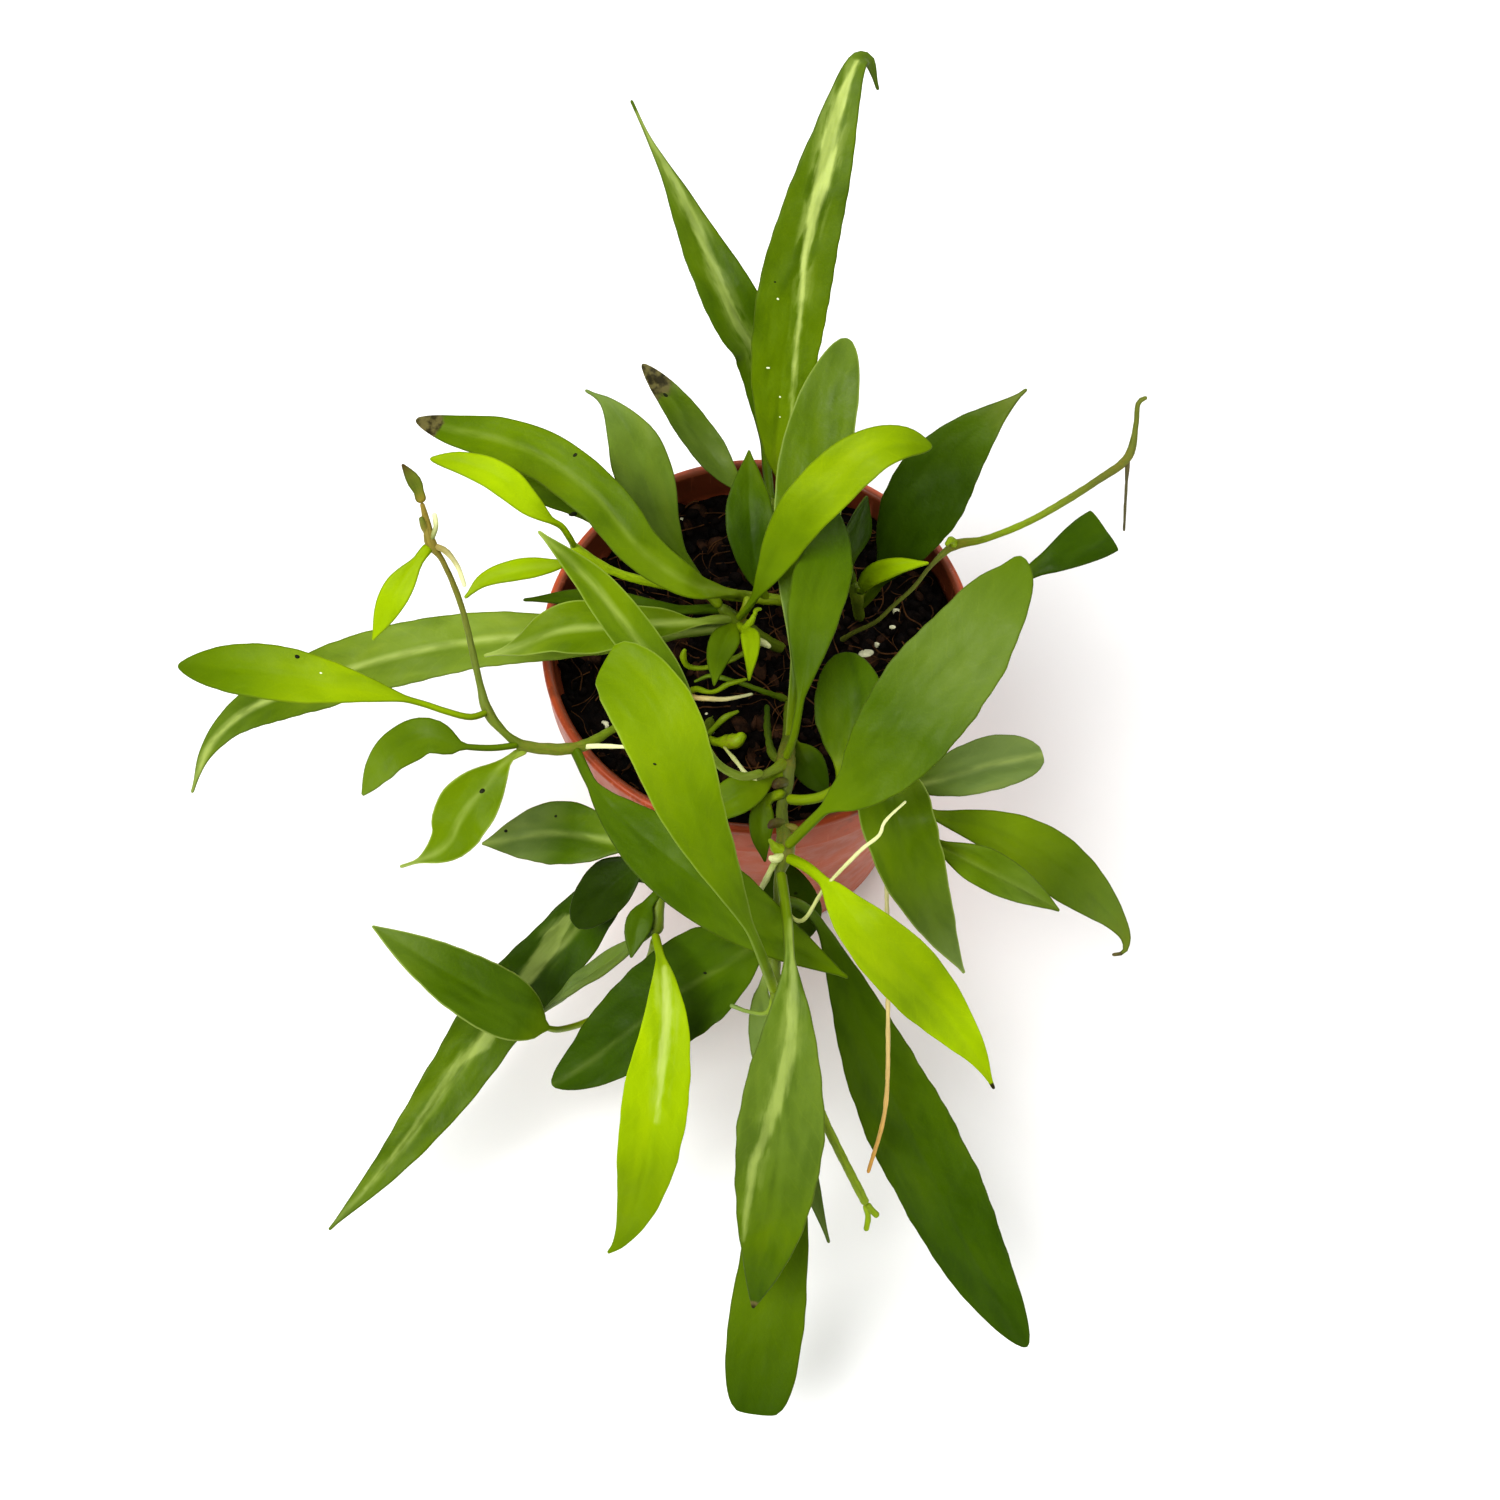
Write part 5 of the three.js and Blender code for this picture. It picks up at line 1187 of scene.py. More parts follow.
# %% The leaves on the left
leaf("leaf_left_slender", "leaf_dark", [
    (762, 773, 96), (740, 776, 101), (716, 762, 105), (694, 722, 111), (668, 678, 117), (641, 645, 121),
    (616, 613, 125), (593, 584, 129), (565, 556, 133), (538, 531, 136)],
    width=8.3, petiole=0.22, stalk=0.8, widest=0.55, fold=12, tones=(STALK, MOSS, MOSS, GRASS, GRASS),
    vein=0.3, crease=0.5, margin=0.2)
leaf("leaf_left_long", "leaf_dark", [
    (735, 627, 87), (650, 636, 90), (560, 638, 92), (480, 641, 91), (395, 657, 88), (300, 688, 78),
    (235, 720, 66), (205, 755, 58), (192, 793, 52)],
    width=13.3, petiole=0.08, widest=0.55, base_taper=0.6, tip_taper=1.15, fold=8,
    tones=(MOSS, PALE_GREEN, PALE_GREEN, MOSS, SAGE), vein=0.6, crease=0.5)
leaf("leaf_left_wavy", "leaf_dark", [
    (731, 618, 90), (695, 622, 95), (640, 625, 99), (590, 628, 101), (552, 633, 101), (516, 648, 100),
    (484, 656, 98)],
    width=11, petiole=0.1, widest=0.6, tip_taper=1.8, wave=1, waves=3,
    tones=(STALK, MOSS, GRASS, PALE_GREEN), vein=0.4, margin=0.25)
leaf("leaf_left_sliver", "leaf_dark", [
    (725, 609, 91), (708, 609, 91), (690, 610, 92), (650, 609, 94), (610, 602, 95), (575, 598, 96),
    (523, 600, 97)],
    width=5, tones=(FOREST, FOREST))
leaf("leaf_upper_left_big", "leaf_dark", [
    (748, 597, 87), (725, 592, 97), (688, 583, 107), (644, 553, 113), (604, 504, 118), (548, 460, 120),
    (499, 440, 119), (455, 431, 117), (416, 420, 115)],
    width=10.6, petiole=0.1, widest=0.6, base_taper=0.7, tip_taper=0.56, fold=10,
    tones=(STALK, BRIGHT, MOSS, GRASS, FOREST), vein=0.12, withered=0.1)
leaf("leaf_upper_left_under", "leaf_dark", [
    (715, 592, 90), (690, 575, 88), (655, 548, 91), (622, 520, 95), (590, 503, 98), (555, 492, 101),
    (510, 479, 104), (480, 473, 105), (453, 469, 106)],
    width=8.6, tones=(FOREST, MOSS))
leaf("leaf_upper_left_lime", "leaf_lime", [
    (574, 546, 106.5), (569, 537, 112), (561, 526, 117), (549, 519, 121), (530, 505, 125),
    (507, 484, 128), (487, 472, 129), (460, 463, 129), (430, 459, 128)],
    width=6.4, petiole=0.28, stalk=0.65, widest=0.5, base_taper=1.2, tip_taper=0.65,
    tones=(YELLOW_LIME, YELLOW_LIME, YELLOW_LIME, LIME))
leaf("leaf_upper_left_small_lime", "leaf_lime", [
    (590, 558, 103), (562, 564, 108), (515, 571, 112), (485, 580, 110), (465, 598, 105)],
    width=4.5, petiole=0.16, stalk=0.65, tones=(STALK, YELLOW_LIME, YELLOW_LIME), vein=0.1)
leaf("leaf_upper_bluish", "leaf_dark", [
    (721, 607, 93), (706, 590, 94), (688, 563, 98), (662, 520, 104), (645, 478, 110), (628, 435, 116),
    (606, 403, 119), (585, 390, 120)],
    width=12, petiole=0.2, widest=0.55, tip_taper=1.6, fold=14, tones=(STALK, MOSS, SAGE, SAGE, BLOOM_AND_PAINTED_SHEEN))
leaf("leaf_spray_lime", "leaf_lime", [
    (430, 545, 135), (410, 572, 132), (391, 602, 128), (373, 640, 120)],
    width=5.8, petiole=0.06, tones=(LIME, YELLOW_LIME, YELLOW_LIME))
leaf("leaf_far_left_lime", "leaf_lime", [
    (488, 712, 108), (470, 717, 111), (445, 711, 113.5), (424, 704, 115), (380, 693, 118),
    (303, 679, 120), (240, 670, 120), (178, 666, 116)],
    width=11, petiole=0.24, stalk=0.6, widest=0.6, tip_taper=0.65,
    tones=(STALK, LIME, LIME, GRASS, MOSS), crease=0.2)
leaf("leaf_left_curled", "leaf_mid", [
    (518, 745, 103), (490, 748, 106), (455, 745, 109), (429, 737, 110), (399, 749, 106), (379, 769, 99),
    (363, 795, 90)],
    width=8.3, petiole=0.27, stalk=0.6, widest=0.35, base_taper=0.5, tip_taper=0.8, fold=10,
    tones=(GRASS, MOSS, MOSS, GRASS, GRASS))
leaf("leaf_left_wavy_small", "leaf_mid", [
    (527, 749, 101), (512, 757, 100.5), (495, 775, 99.5), (473, 802, 97), (460, 821, 94),
    (450, 841, 91), (438, 852, 89), (421, 860, 87), (400, 867, 85)],
    width=12, petiole=0.06, stalk=0.8, widest=0.45, tip_taper=2.2, wave=0.8, waves=2.5,
    tones=(STALK, GRASS, GRASS, GRASS, SAGE), vein=0.25, margin=0.3)
print("leaves and stems so far:", len(drift))

# %% [markdown]
# ## The leaves at the front left
#
# A second stem hangs over the rim here. Its leaves are dark, with a bluish gloss that is partly
# painted sheen in their tones, and the long one has the broadest stripe of the plant.

# %% The leaves at the front left
leaf("leaf_front_left_grey", "leaf_grey", [
    (666, 850, 80), (635, 846, 82), (600, 840, 80), (550, 834, 76), (482, 844, 68)],
    width=13.5, fold=10, tones=(FOREST, MOSS, FOREST, BLOOM_AND_PAINTED_SHEEN, SAGE), vein=0.3, crease=0.5)
leaf("leaf_front_left_deep_green", "leaf_dark", [
    (664, 859, 79), (640, 866, 76), (612, 885, 72), (574, 925, 63)],
    width=11, tip_taper=0.5, tones=(DEEP, NIGHT, NIGHT))
leaf("leaf_front_left_striped", "leaf_striped", [
    (661, 881, 77), (627, 879, 67), (597, 906, 58), (556, 954, 49), (500, 1012, 41), (455, 1078, 32),
    (395, 1158, 22), (329, 1230, 13)],
    width=14.2, petiole=0.08, widest=0.38, base_taper=0.5, tip_taper=0.95,
    tones=(FOREST, DEEP, DEEP, MOSS, MOSS, MOSS), paleness=0.4, vein=0.2, crease=0.5,
    stripe=[(0.26, 3, 1.2), (0.32, 2.4, 3.4), (0.4, 0.9, 2.8), (0.47, -0.6, 2.2), (0.55, -1, 2.8),
            (0.61, 1.4, 1.2), (0.7, 1, 0.8), (0.9, 0.4, 0.4)])
leaf("leaf_front_left_small", "leaf_dark", [
    (660, 892, 76.4), (648, 905, 76), (637, 930, 75), (631, 958, 73)],
    width=5.5, tones=(FOREST, FOREST))
leaf("leaf_front_left_edge_on", "leaf_grey", [
    (657, 924, 74), (630, 948, 67), (600, 970, 62), (570, 990, 57), (543, 1012, 50)],
    width=8.5, roll=(40, 60), tones=(SAGE, SAGE, BLOOM_AND_PAINTED_SHEEN))
leaf("leaf_front_left_glossy", "leaf_dark", [
    (655, 940, 70), (648, 962, 58), (625, 996, 48), (594, 1018, 47), (567, 1028, 51), (548, 1028, 57),
    (517, 1013, 62), (455, 978, 67), (410, 950, 70), (372, 926, 71)],
    width=13.5, petiole=0.54, stalk=0.8, widest=0.3, base_taper=0.5, tip_taper=0.9,
    tones=(STALK, STALK, STALK, FOREST, FOREST, SAGE), margin=0.3, crease=0.5)
leaf("leaf_front_left_broad", "leaf_dark", [
    (778, 925, 89), (750, 950, 79), (700, 980, 68), (640, 1022, 58), (590, 1062, 50), (552, 1085, 45)],
    width=20, petiole=0.08, widest=0.35, base_taper=0.9, tip_taper=0.6,
    tones=(MOSS, FOREST, DEEP, DEEP, DEEP), vein=0.08)
print("leaves and stems so far:", len(drift))

# %% [markdown]
# ## Potting mix
#
# The mix is peat, bark bits, coir fibres and a few grains of perlite. One noisy surface would look
# like a cake. So the mound itself is only the dark ground, cut by a finer grid than the frame's,
# and what lies on it is scattered: crumbs, flat bits of bark, curled fibres and pale grains. Each
# draw is seeded, so the same plant grows every time.

# %% The mound
WALL, FLOOR, GAP = 1.4, 1.6, 0.3
RIM_RADIUS, BASE_RADIUS, POT_HEIGHT, BAND_HEIGHT, BAND_STEP, LIP = 45, 31, 78, 11, 2.2, 1.1
BAND_FOOT = POT_HEIGHT - BAND_HEIGHT
SOIL_TOP, SOIL_SLOPE = 69, 0.05
COARSE_CLODS, FINE_CLODS = (0.72, 0.31, 0.37), (0.58, 0.83, 0.71)
SOIL_SECTORS, SOIL_RINGS = 150, 56
SOIL_RADIUS = 42.2
CRUMBLE_HEIGHT, CRUMBLE_PITCH, CRUMBLE_OCTAVES = 0.55, 0.55, (0.6, 2.2, 4)
SEAM_DROP = 2


def inner_radius(height):
    """The inside of the pot's wall below its band, at a height above the underside."""
    return mix(BASE_RADIUS, RIM_RADIUS - BAND_STEP, height / BAND_FOOT) - WALL


def ground(x, y):
    """The height of the mix above the pot's underside, at a place in millimetres."""
    def clod(height, across, deep, turn):
        return height * math.sin(across * x + turn) * math.cos(deep * y - turn)
    broad = clod(*COARSE_CLODS, 1) + clod(*FINE_CLODS, COARSE_CLODS[2] * x) + SOIL_SLOPE * x
    crumbly = noise.fractal(Vector((x, y, 0)) * CRUMBLE_PITCH, *CRUMBLE_OCTAVES) * CRUMBLE_HEIGHT
    return SOIL_TOP + broad + crumbly


def circle(radius):
    """Places on a circle about the pot's axis, seen from above."""
    turns = [2 * math.pi * sector / SOIL_SECTORS for sector in range(SOIL_SECTORS)]
    return [(radius * math.cos(turn), radius * math.sin(turn)) for turn in turns]


def mound():
    """The mix as rings: up along the wall, and then in over its uneven top."""
    levels = (FLOOR + GAP, BAND_FOOT - SEAM_DROP)
    wall = [[(x, y, level) for x, y in circle(inner_radius(level) - GAP)] for level in levels]
    radii = [SOIL_RADIUS * (1 - ring / SOIL_RINGS) for ring in range(SOIL_RINGS)]
    top = [[(x, y, ground(x, y)) for x, y in circle(radius)] for radius in radii]
    return np.array(wall + top)


def soil_finish():
    look = Finish("soil_mix", {"Specular IOR Level": 0.08})
    place = look.place()
    # The mix is coloured far darker than peat itself: partly its own dark colour, partly painted shade from
    # the leaves above.
    colour = look.blend(look.ease(look.noise(place, 500, 5), 0.35, 0.65), PEAT * 0.1, PEAT * 0.4)
    colour = look.blend(look.ease(look.noise(place, 240, 3), 0.62, 0.78, 0, 0.5), colour, BARK * 0.5)
    rough = look.ease(look.noise(place, 300), 0.4, 0.6, 0.65, 0.95)
    bumps = look.raised(look.noise(place, 900, 5), 0.0008)
    look.set(look.surface, {"Base Color": colour, "Roughness": rough, "Normal": bumps})
    return look.material


soil_peat_and_painted_shade = soil_finish()
soil = Skin()
soil.add(mound())
soil.make("soil_live", soil_peat_and_painted_shade, ["soil"])
print("the mound has", soil.count, "points")

# %% [markdown]
# ## Crumbs, bark, fibres and perlite
#
# A crumb is a small ball pushed in and out at its corners, a bark bit is such a ball pressed flat,
# and a fibre is a thin tube on a curved line. They are gathered by kind into one mesh each, which
# is lighter than hundreds of objects and needs no particle system. They lie all over the mix, out
# to the seam along the pot's wall.

# %% Scattering the mix
draw = random.Random(7)
SCATTER_RADIUS = 41.5
LUMP_UNEVEN, LUMP_PITCH, LUMP_SUNK = 0.35, 1.4, 0.2


def ball():
    """The corners and faces of a small round body with 80 faces."""
    form = bmesh.new()
    bmesh.ops.create_icosphere(form, subdivisions=2, radius=1)
    corners = np.array([vertex.co for vertex in form.verts])
    faces = [[vertex.index for vertex in face.verts] for face in form.faces]
    form.free()
    return corners, faces


BALL_CORNERS, BALL_FACES = ball()


def spot(least=0.0):
    """A random place on the mix, no nearer to the pot's axis than least."""
    radius = math.sqrt(draw.uniform((least / SCATTER_RADIUS) ** 2, 1)) * SCATTER_RADIUS
    turn = draw.uniform(0, 2 * math.pi)
    return radius * math.cos(turn), radius * math.sin(turn)


def lump(size, flatness):
    """One crumb: a ball made uneven, squeezed and turned at random."""
    shift = Vector((draw.uniform(0, 99), 0, 0))
    uneven = np.array([1 + LUMP_UNEVEN * noise.noise(Vector(corner) * LUMP_PITCH + shift)
                       for corner in BALL_CORNERS])
    squeeze = np.array([1, draw.uniform(0.55, 1), flatness * draw.uniform(0.7, 1.2)])
    spin = Matrix.Rotation(draw.uniform(0, 2 * math.pi), 3, "Z")
    tip = Matrix.Rotation(draw.gauss(0, 0.5), 3, "X")
    lean = Matrix.Rotation(draw.gauss(0, 0.4), 3, "Y")
    return (BALL_CORNERS * uneven[:, None] * squeeze * size) @ np.array(spin @ tip @ lean).T


def scatter(name, count, sizes, flatness, finish, least=0.0):
    """Many lumps of one kind, each set a little into the mix, as one mesh."""
    points, faces = [], []
    for _ in range(count):
        x, y = spot(least)
        size = draw.uniform(*sizes)
        base = len(points) * len(BALL_CORNERS)
        height = size * (flatness * 0.5 - LUMP_SUNK)
        points.append(lump(size, flatness) + np.array([x, y, ground(x, y) + height]))
        faces.extend([[base + corner for corner in face] for face in BALL_FACES])
    mesh = bpy.data.meshes.new(name)
    mesh.from_pydata((np.vstack(points) * MM).tolist(), [], faces)
    mesh.polygons.foreach_set("use_smooth", [True] * len(mesh.polygons))
    mesh.materials.append(finish)
    piece = bpy.data.objects.new(name, mesh)
    bpy.context.scene.collection.objects.link(piece)
    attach(piece, "root")


def bit_finish(name, low, high, roughness, depth):
    look = Finish(name, {"Roughness": roughness, "Specular IOR Level": 0.12})
    place = look.place()
    colour = look.blend(look.ease(look.noise(place, 350, 4), 0.35, 0.65), low, high)
    bumps = look.raised(look.noise(place, 1300, 4), depth)
    look.set(look.surface, {"Base Color": colour, "Normal": bumps})
    return look.material


# Crumbs and bark are likewise darker than their own colours: partly real, partly painted shade from the
# leaves above.
crumbs_peat_and_painted_shade = bit_finish("crumb_peat", PEAT * 0.1, PEAT * 0.5, 0.85, 0.0004)
bark_brown_and_painted_shade = bit_finish("bark_bits", BARK * 0.2, BARK * 0.75, 0.7, 0.0004)
perlite_pale = bit_finish("perlite_grain", PERLITE * 0.7, PERLITE, 0.8, 0.0004)
scatter("soil_crumbs", 900, (0.5, 1.7), 0.8, crumbs_peat_and_painted_shade)
scatter("soil_bark", 170, (1.0, 3.0), 0.35, bark_brown_and_painted_shade)
scatter("soil_perlite", 24, (0.4, 1.1), 0.8, perlite_pale, least=10)
print("crumbs, bark and perlite lie on the mix")

# %% [markdown]
# ## Coir fibres
#
# Fibres lie on the mix in every direction, and rise and fall a little over it. Each starts at a
# random place and walks a few steps, turning a little at each, and turns aside near the wall.

# %% Fibres
FIBRE_COUNT, FIBRE_SPANS, FIBRE_SIDES, FIBRE_STEP = 230, 4, 5, 1.1
FIBRE_LENGTHS, FIBRE_RADII, FIBRE_LIFTS = (5, 18), (0.09, 0.22), (0.1, 1.6)
FIBRE_TURN, FIBRE_LIMIT, FIBRE_RETURN = 0.5, 41, 0.95
fibre_tan = bit_finish("coir_fibre", COIR * 0.12, COIR * 0.4, 0.7, 0.0001)


def fibre_path():
    """A radius and the points of one fibre, in millimetres."""
    x, y = spot()
    turn, length = draw.uniform(0, 2 * math.pi), draw.uniform(*FIBRE_LENGTHS)
    radius = draw.uniform(*FIBRE_RADII)
    points = []
    for _ in range(FIBRE_SPANS + 1):
        points.append((x, y, ground(x, y) + radius + draw.uniform(*FIBRE_LIFTS)))
        turn += draw.gauss(0, FIBRE_TURN)
        x += math.cos(turn) * length / FIBRE_SPANS
        y += math.sin(turn) * length / FIBRE_SPANS
        if math.hypot(x, y) > FIBRE_LIMIT:
            turn += math.pi / 2
            x, y = x * FIBRE_RETURN, y * FIBRE_RETURN
    return radius, np.array(points)


def fibre(skin):
    """A thin tube along one fibre's path."""
    radius, points = fibre_path()
    line = Line(points)
    places = stations(line.length, FIBRE_STEP, radius, radius)
    centre, heading, _ = line.at(places)
    across = carried(heading, UP)
    angle = 2 * math.pi * np.arange(FIBRE_SIDES) / FIBRE_SIDES
    thick = (radius * closing(places, line.length, radius, radius))[:, None]
    skin.add(round_rings(centre, across, np.cross(heading, across), thick, angle))


fibres = Skin()
for _ in range(FIBRE_COUNT):
    fibre(fibres)
fibres.make("soil_fibres", fibre_tan)
print("fibres:", FIBRE_COUNT, "with", len(fibres.faces), "faces")

# %% [markdown]
# ## Grains and spots in their places
#
# Two perlite grains catch the eye, and some leaves have a small dark wart or a pale dot of wax. Such
# marks could be part of the leaf's material, but they are firm little bumps, so they are bodies. A
# ray from the eye through a place of the picture finds the surface that carries each of them.

# %% Grains and spots
ANY_DIRECTION = [0.3, 1.0, 0.2]
SPOT_LEVELS, SPOT_SIDES, SPOT_UNEVEN, SPOT_HEIGHT = 9, 12, 0.18, 0.25
bpy.context.view_layer.update()
sight = bpy.context.evaluated_depsgraph_get()


def touched(column, row):
    """The first surface point on the line of sight through a place of the picture, in millimetres."""
    target = seen([(column, row, 0)])[0]
    found, place, facing, *_ = bpy.context.scene.ray_cast(
        sight, Vector(EYE * MM), Vector(target - EYE).normalized())
    return (np.array(place) / MM, np.array(facing)) if found else (None, None)


def spots(name, finish, marks):
    """Small flattened bodies that sit on whatever surface is seen at their places."""
    skin = Skin()
    for column, row, length, width, turn in marks:
        place, facing = touched(column, row)
        if place is None:
            continue
        across = unit(np.cross(facing, ANY_DIRECTION))
        beside = np.cross(facing, across)
        lean = math.radians(turn)
        across, beside = (across * math.cos(lean) + beside * math.sin(lean),
                          beside * math.cos(lean) - across * math.sin(lean))
        latitudes = np.linspace(-1, 1, SPOT_LEVELS)[1:-1] * math.pi / 2
        longitudes = 2 * math.pi * np.arange(SPOT_SIDES) / SPOT_SIDES
        uneven = 1 + SPOT_UNEVEN * wander(longitudes, seed=f"{column}{row}")
        rings = [place + facing * (SPOT_HEIGHT * width * math.sin(level))
                 + across * (length / 2 * math.cos(level) * np.cos(longitudes) * uneven)[:, None]
                 + beside * (width / 2 * math.cos(level) * np.sin(longitudes) * uneven)[:, None]
                 for level in latitudes]
        skin.add(np.array(rings))
    skin.make(name, finish)
    print(name, len(skin.points))


wart = bit_finish("leaf_wart", DARK_SPECK * 0.5, DARK_SPECK * 1.6, 0.6, 0.0001)
wax = bit_finish("leaf_wax", srgb(190, 200, 150), srgb(226, 232, 200), 0.5, 0.0001)
spots("soil_perlite_placed", perlite_pale, [(866, 653, 3.2, 1.7, 20), (892, 627, 1.6, 1.0, 0)])
spots("leaf_warts", wart, [
    (297, 657, 1.0, 0.7, 0), (482, 791, 1.0, 0.8, 30), (506, 831, 0.9, 0.7, 0), (556, 816, 0.6, 0.5, 0),
    (705, 973, 0.9, 0.6, 0), (575, 455, 0.8, 0.6, 40), (975, 1155, 1.0, 0.8, 0), (665, 395, 1.1, 0.7, 0),
    (775, 282, 0.5, 0.4, 0), (655, 764, 0.7, 0.4, 0), (573, 514, 1.6, 0.9, 30)])
spots("leaf_wax_dots", wax, [
    (778, 299, 0.6, 0.4, 0), (768, 368, 0.8, 0.4, 20), (780, 397, 0.5, 0.4, 0), (780, 417, 0.4, 0.4, 0),
    (321, 673, 0.5, 0.3, 0)])

# %% [markdown]
# ## The pot
#
# The pot is thin injection-moulded plastic, a little shiny and slightly see-through at its lip. A
# lathe shape suits it: one profile, spun round. The frame's profile has sharp corners, and real
# moulded corners are round, so each corner becomes a short arc. The drain holes are cut with a
# Boolean, which is then applied, so that the mesh itself has the holes.

# %% The pot's profile
BASE_CHAMFER = 1.5
CORNER_STEPS, CORNER_REACH, CORNER_SHARE = 5, 0.6, 2.2


def pot_profile():
    """Radius and height round the wall's section: out along the underside, up, over and down."""
    rim, top, band_inner = RIM_RADIUS, POT_HEIGHT, RIM_RADIUS - 2 * LIP
    return [
        (BASE_RADIUS - BASE_CHAMFER, 0), (BASE_RADIUS, BASE_CHAMFER), (rim - BAND_STEP, BAND_FOOT),
        (rim - LIP / 2, BAND_FOOT + LIP / 2), (rim - LIP / 2, top - 2 * LIP), (rim, top - 1.5 * LIP),
        (rim, top - LIP / 2), (rim - LIP / 2, top), (rim - 1.5 * LIP, top), (band_inner, top - LIP / 2),
        (band_inner, BAND_FOOT + 1.5 * LIP), (inner_radius(BAND_FOOT - LIP), BAND_FOOT - LIP / 2),
        (inner_radius(FLOOR), FLOOR),
    ]


def rounded(profile):
    """The same profile with a short arc in place of each corner."""
    corners = np.array(profile, float)
    smoothed = [corners[0]]
    for before, corner, after in zip(corners, corners[1:], corners[2:]):
        shorter = min(np.linalg.norm(before - corner), np.linalg.norm(after - corner))
        reach = min(CORNER_REACH, shorter / CORNER_SHARE)
        start = corner + unit(before - corner) * reach
        stop = corner + unit(after - corner) * reach
        for step in range(CORNER_STEPS + 1):
            t = step / CORNER_STEPS
            smoothed.append((1 - t) ** 2 * start + 2 * t * (1 - t) * corner + t * t * stop)
    return np.array([*smoothed, corners[-1]])


print("the pot's profile has", len(pot_profile()), "corners and", len(rounded(pot_profile())), "points")

# %% [markdown]
# ## The finish of the pot
#
# Moulded plastic has an even colour, so what makes it real is small: clouds in the colour, grime
# under the lip, faint pale scuffs down the wall and painted shade that darkens the inside. Which side
# a point is on could be painted. Here its normal is compared with its direction from the pot's axis.

# %% The finish of the pot
# The inside colour is painted shade, far darker than the plastic itself.
POT_INSIDE_PAINTED_SHADE, SCUFF_PALE = srgb(100, 52, 30), srgb(214, 132, 100)
GRIME_START, GRIME_END = 0.06, 0.074


def pot_finish():
    look = Finish("pot_terracotta_plastic", {
        "Coat Weight": 0.06, "Coat Roughness": 0.3, "Specular IOR Level": 0.3,
        "Subsurface Weight": 0.1, "Subsurface Scale": 0.002, "Subsurface Radius": (1.0, 0.4, 0.2)})
    place = look.place()
    height = look.parts(place)[2]
    clouds = look.ease(look.noise(place, 60, 4), 0.35, 0.65)
    colour = look.blend(clouds, TERRACOTTA * 0.86, TERRACOTTA * 1.08)
    grime = look.math("MULTIPLY", look.ease(look.noise(place, 190, 5), 0.55, 0.7), 0.45)
    grime = look.math("MULTIPLY", grime, look.ease(height, GRIME_START, GRIME_END))
    colour = look.blend(grime, colour, BARK)
    # Painted shade: where the normal points towards the axis, the wall is darkened as if in the pot's own
    # shade.
    from_axis = {0: look.add("TexCoord", {}, "Normal"), 1: look.stretch(place, 1, 1, 0)}
    outward = look.add("VectorMath", from_axis, "Value", operation="DOT_PRODUCT")
    colour = look.blend(look.ease(outward, 0.008, -0.008, 0, 0.8), colour, POT_INSIDE_PAINTED_SHADE)
    scuffs = look.ease(look.noise(look.stretch(place, 900, 900, 60), 1.0, 3), 0.62, 0.72, 0, 0.25)
    colour = look.blend(scuffs, colour, SCUFF_PALE)
    rough = look.ease(look.noise(place, 240, 4), 0.3, 0.7, 0.32, 0.5)
    bumps = look.raised(look.noise(place, 700, 3), 0.00006)
    look.set(look.surface, {"Base Color": colour, "Roughness": rough, "Normal": bumps})
    return look.material


pot_plastic = pot_finish()
print("the pot's finish has", len(pot_plastic.node_tree.nodes), "nodes")

# %% [markdown]
# ## The pot's shell
#
# The rounded profile is spun about the axis into one closed wall. Six short cylinders, each a
# little taller than the floor, then cut the drain holes.

# %% The pot's shell
POT_SECTORS, HOLE_SIDES = 144, 32
DRAIN_HOLES, DRAIN_RADIUS, DRAIN_CIRCLE = 6, 4, 20


def spun(profile, sectors):
    """Rings of a profile that is turned about the pot's axis."""
    turn = 2 * math.pi * np.arange(sectors) / sectors
    return np.array([[(r * math.cos(t), r * math.sin(t), z) for t in turn] for r, z in profile])


def cutter():
    """Six upright cylinders, as one object that is used only to cut."""
    tools = Skin()
    for hole in range(DRAIN_HOLES):
        turn = 2 * math.pi * hole / DRAIN_HOLES
        rings = spun([(DRAIN_RADIUS, -2 * FLOOR), (DRAIN_RADIUS, 2 * FLOOR)], HOLE_SIDES)
        tools.add(rings + DRAIN_CIRCLE * np.array([math.cos(turn), math.sin(turn), 0]))
    mesh = bpy.data.meshes.new("drain_cutter")
    mesh.from_pydata((np.vstack(tools.points) * MM).tolist(), [], tools.faces)
    return bpy.data.objects.new("drain_cutter", mesh)


shell = Skin()
shell.add(spun(rounded(pot_profile()), POT_SECTORS))
pot = shell.make("pot_live", pot_plastic, ["pot"])
drill = cutter()
bpy.context.scene.collection.objects.link(drill)
cut = pot.modifiers.new("drain_holes", "BOOLEAN")
cut.object, cut.operation, cut.solver = drill, "DIFFERENCE", "EXACT"
bpy.context.view_layer.update()
drained = bpy.data.meshes.new_from_object(pot.evaluated_get(bpy.context.evaluated_depsgraph_get()))
pot.modifiers.clear()
pot.data = drained
bpy.data.objects.remove(drill)
print("the pot has", len(pot.data.polygons), "faces and", DRAIN_HOLES, "drain holes")

# %% [markdown]
# ## Floor
#
# A plain pale floor shows the plant as a shop picture does. Its colour clouds so faintly that one
# hardly sees it, because a perfectly even floor looks like a cut-out.

# %% Floor
FLOOR_SIZE = 6
FLOOR_DULL, FLOOR_BRIGHT = (0.88, 0.885, 0.88), (0.905, 0.91, 0.905)


def floor_finish():
    look = Finish("floor_pale", {"Roughness": 0.9})
    clouds = look.ease(look.noise(look.place(), 3, 2), 0.3, 0.7)
    look.set(look.surface, {"Base Color": look.blend(clouds, FLOOR_DULL, FLOOR_BRIGHT)})
    return look.material


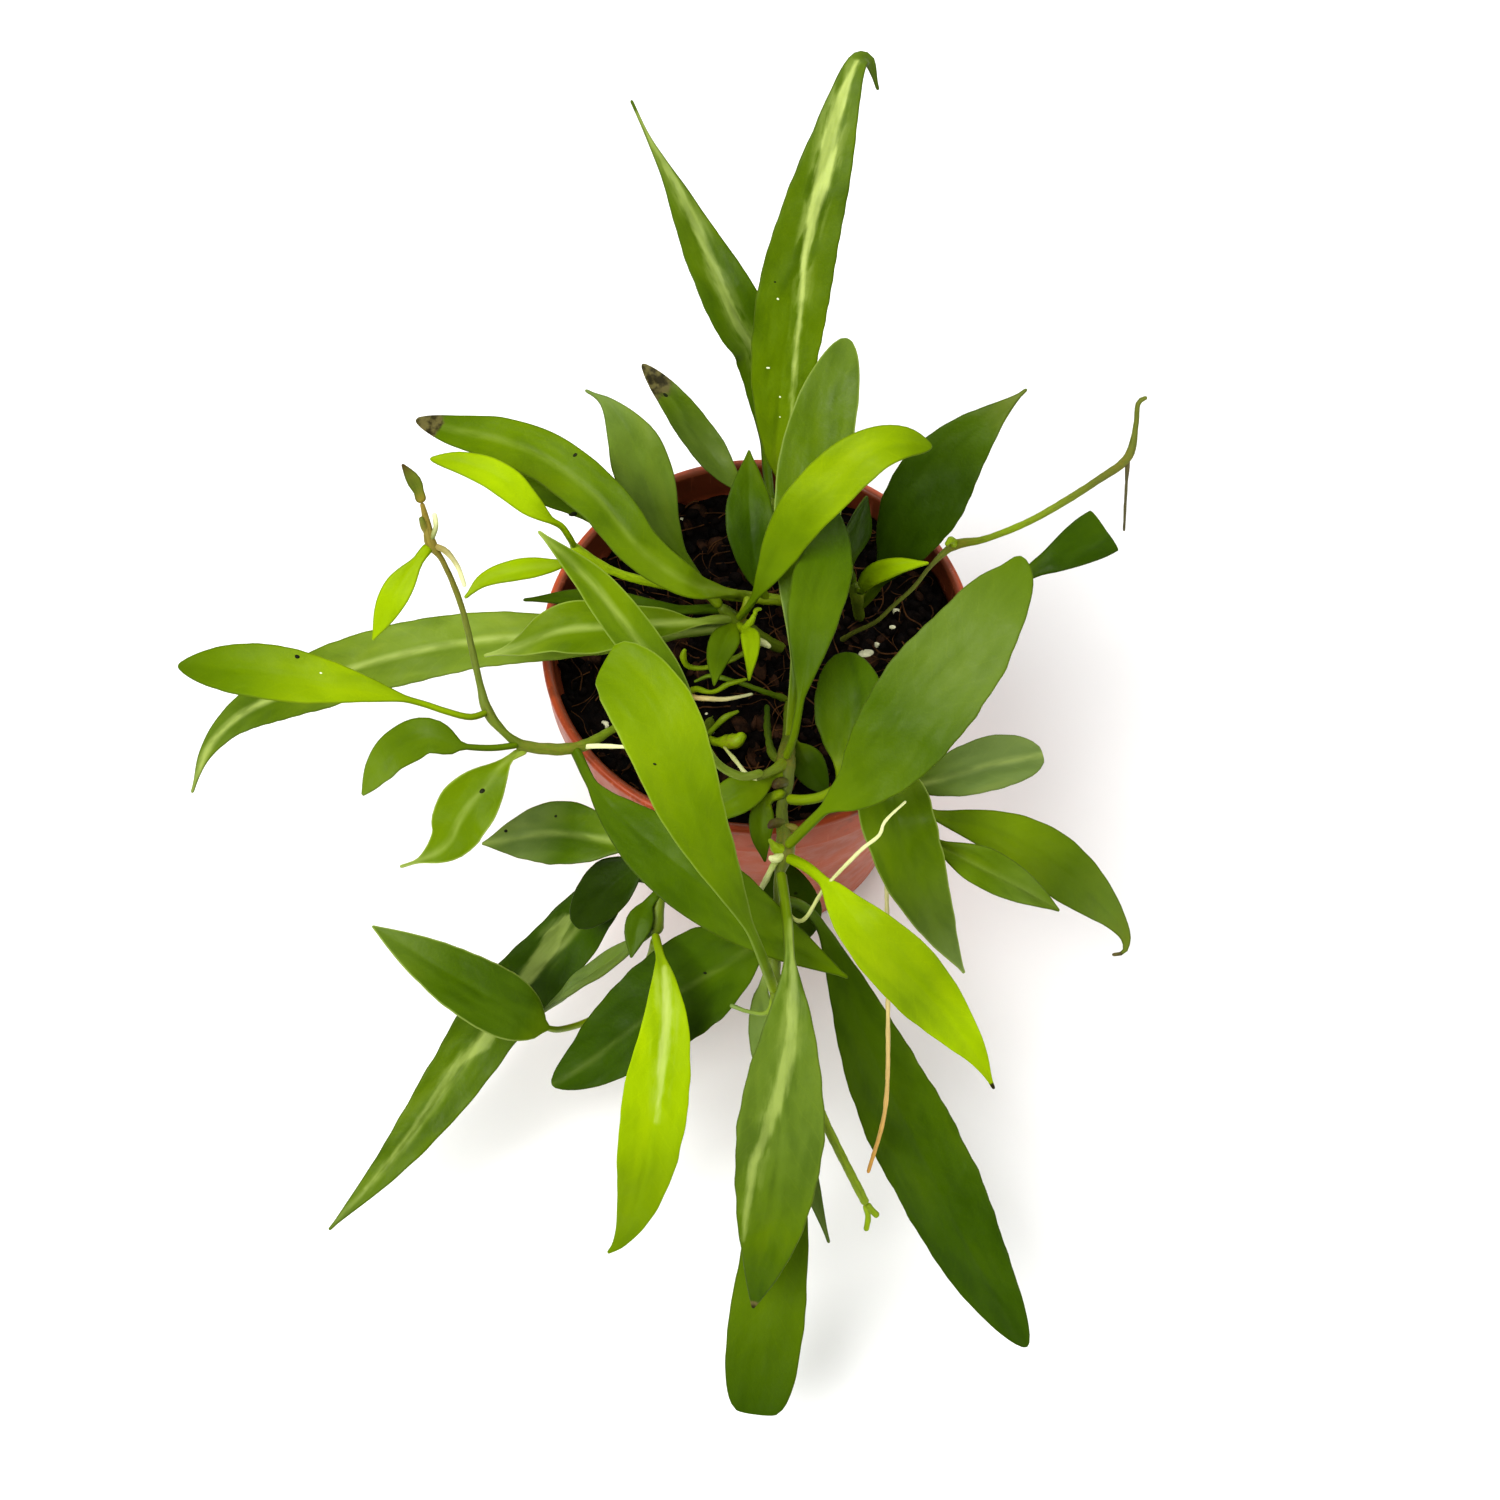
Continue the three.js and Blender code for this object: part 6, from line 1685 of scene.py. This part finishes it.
half = FLOOR_SIZE / 2
floor_corners = [(-half, -half, 0), (half, -half, 0), (half, half, 0), (-half, half, 0)]
floor_mesh = bpy.data.meshes.new("floor")
floor_mesh.from_pydata(floor_corners, [], [(0, 1, 2, 3)])
floor_mesh.materials.append(floor_finish())
floor = bpy.data.objects.new("floor", floor_mesh)
bpy.context.scene.collection.objects.link(floor)
floor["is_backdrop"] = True
print("the floor is", FLOOR_SIZE, "metres wide")

# %% [markdown]
# ## Light
#
# Large soft lights leave no hard shadows to hide the plant's shape. The main one comes from above,
# over the viewer's left shoulder. A weaker one fills from the right, a third comes from behind, and
# the world itself is a pale grey. Each lamp is a square panel that looks at the middle of the rim.

# %% Light
LIGHTS = {
    "key": dict(place=(-0.55, -0.45, 1.15), size=0.9, power=20),
    "fill": dict(place=(0.9, -0.35, 0.8), size=1.1, power=6),
    "back": dict(place=(0.15, 1.0, 0.9), size=0.9, power=7),
}
LIGHT_AIM = Vector((0, 0, 0.08))
WORLD_COLOUR, WORLD_STRENGTH = (1.0, 0.99, 0.97, 1), 0.22


def softbox(name, place, size, power):
    """A square light that looks at the plant."""
    light = bpy.data.lights.new(name, "AREA")
    light.energy, light.size = power, size
    lamp = bpy.data.objects.new(name, light)
    towards = (LIGHT_AIM - Vector(place)).to_track_quat("-Z", "Y")
    lamp.matrix_world = Matrix.Translation(place) @ towards.to_matrix().to_4x4()
    bpy.context.scene.collection.objects.link(lamp)


for name, light in LIGHTS.items():
    softbox(name, **light)
world = bpy.data.worlds.new("studio")
world.use_nodes = True
background = world.node_tree.nodes["Background"]
background.inputs["Color"].default_value = WORLD_COLOUR
background.inputs["Strength"].default_value = WORLD_STRENGTH
bpy.context.scene.world = world
bpy.context.scene.view_settings.view_transform = "Standard"
bpy.context.scene.view_settings.look = "Medium High Contrast"
print("lights:", ", ".join(LIGHTS))

# %% [markdown]
# ## Sizes and the end
#
# The dressed plant may not be larger than its solid model. The largest drifts of single pieces from
# their solids are printed, and then how far the dressed plant reaches past each corner of the frame's box.

# %% Sizes and the end
worst = sorted(drift, key=drift.get, reverse=True)[:8]
print("largest drifts in mm:", ", ".join(f"{node} {drift[node]:.2f}" for node in worst))
visual_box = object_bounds()
for name, corner, other in zip(("low", "high"), cad_box, visual_box):
    print(name, [round((b - a) / MM, 2) for a, b in zip(corner, other)], "mm beyond the frame's corner")
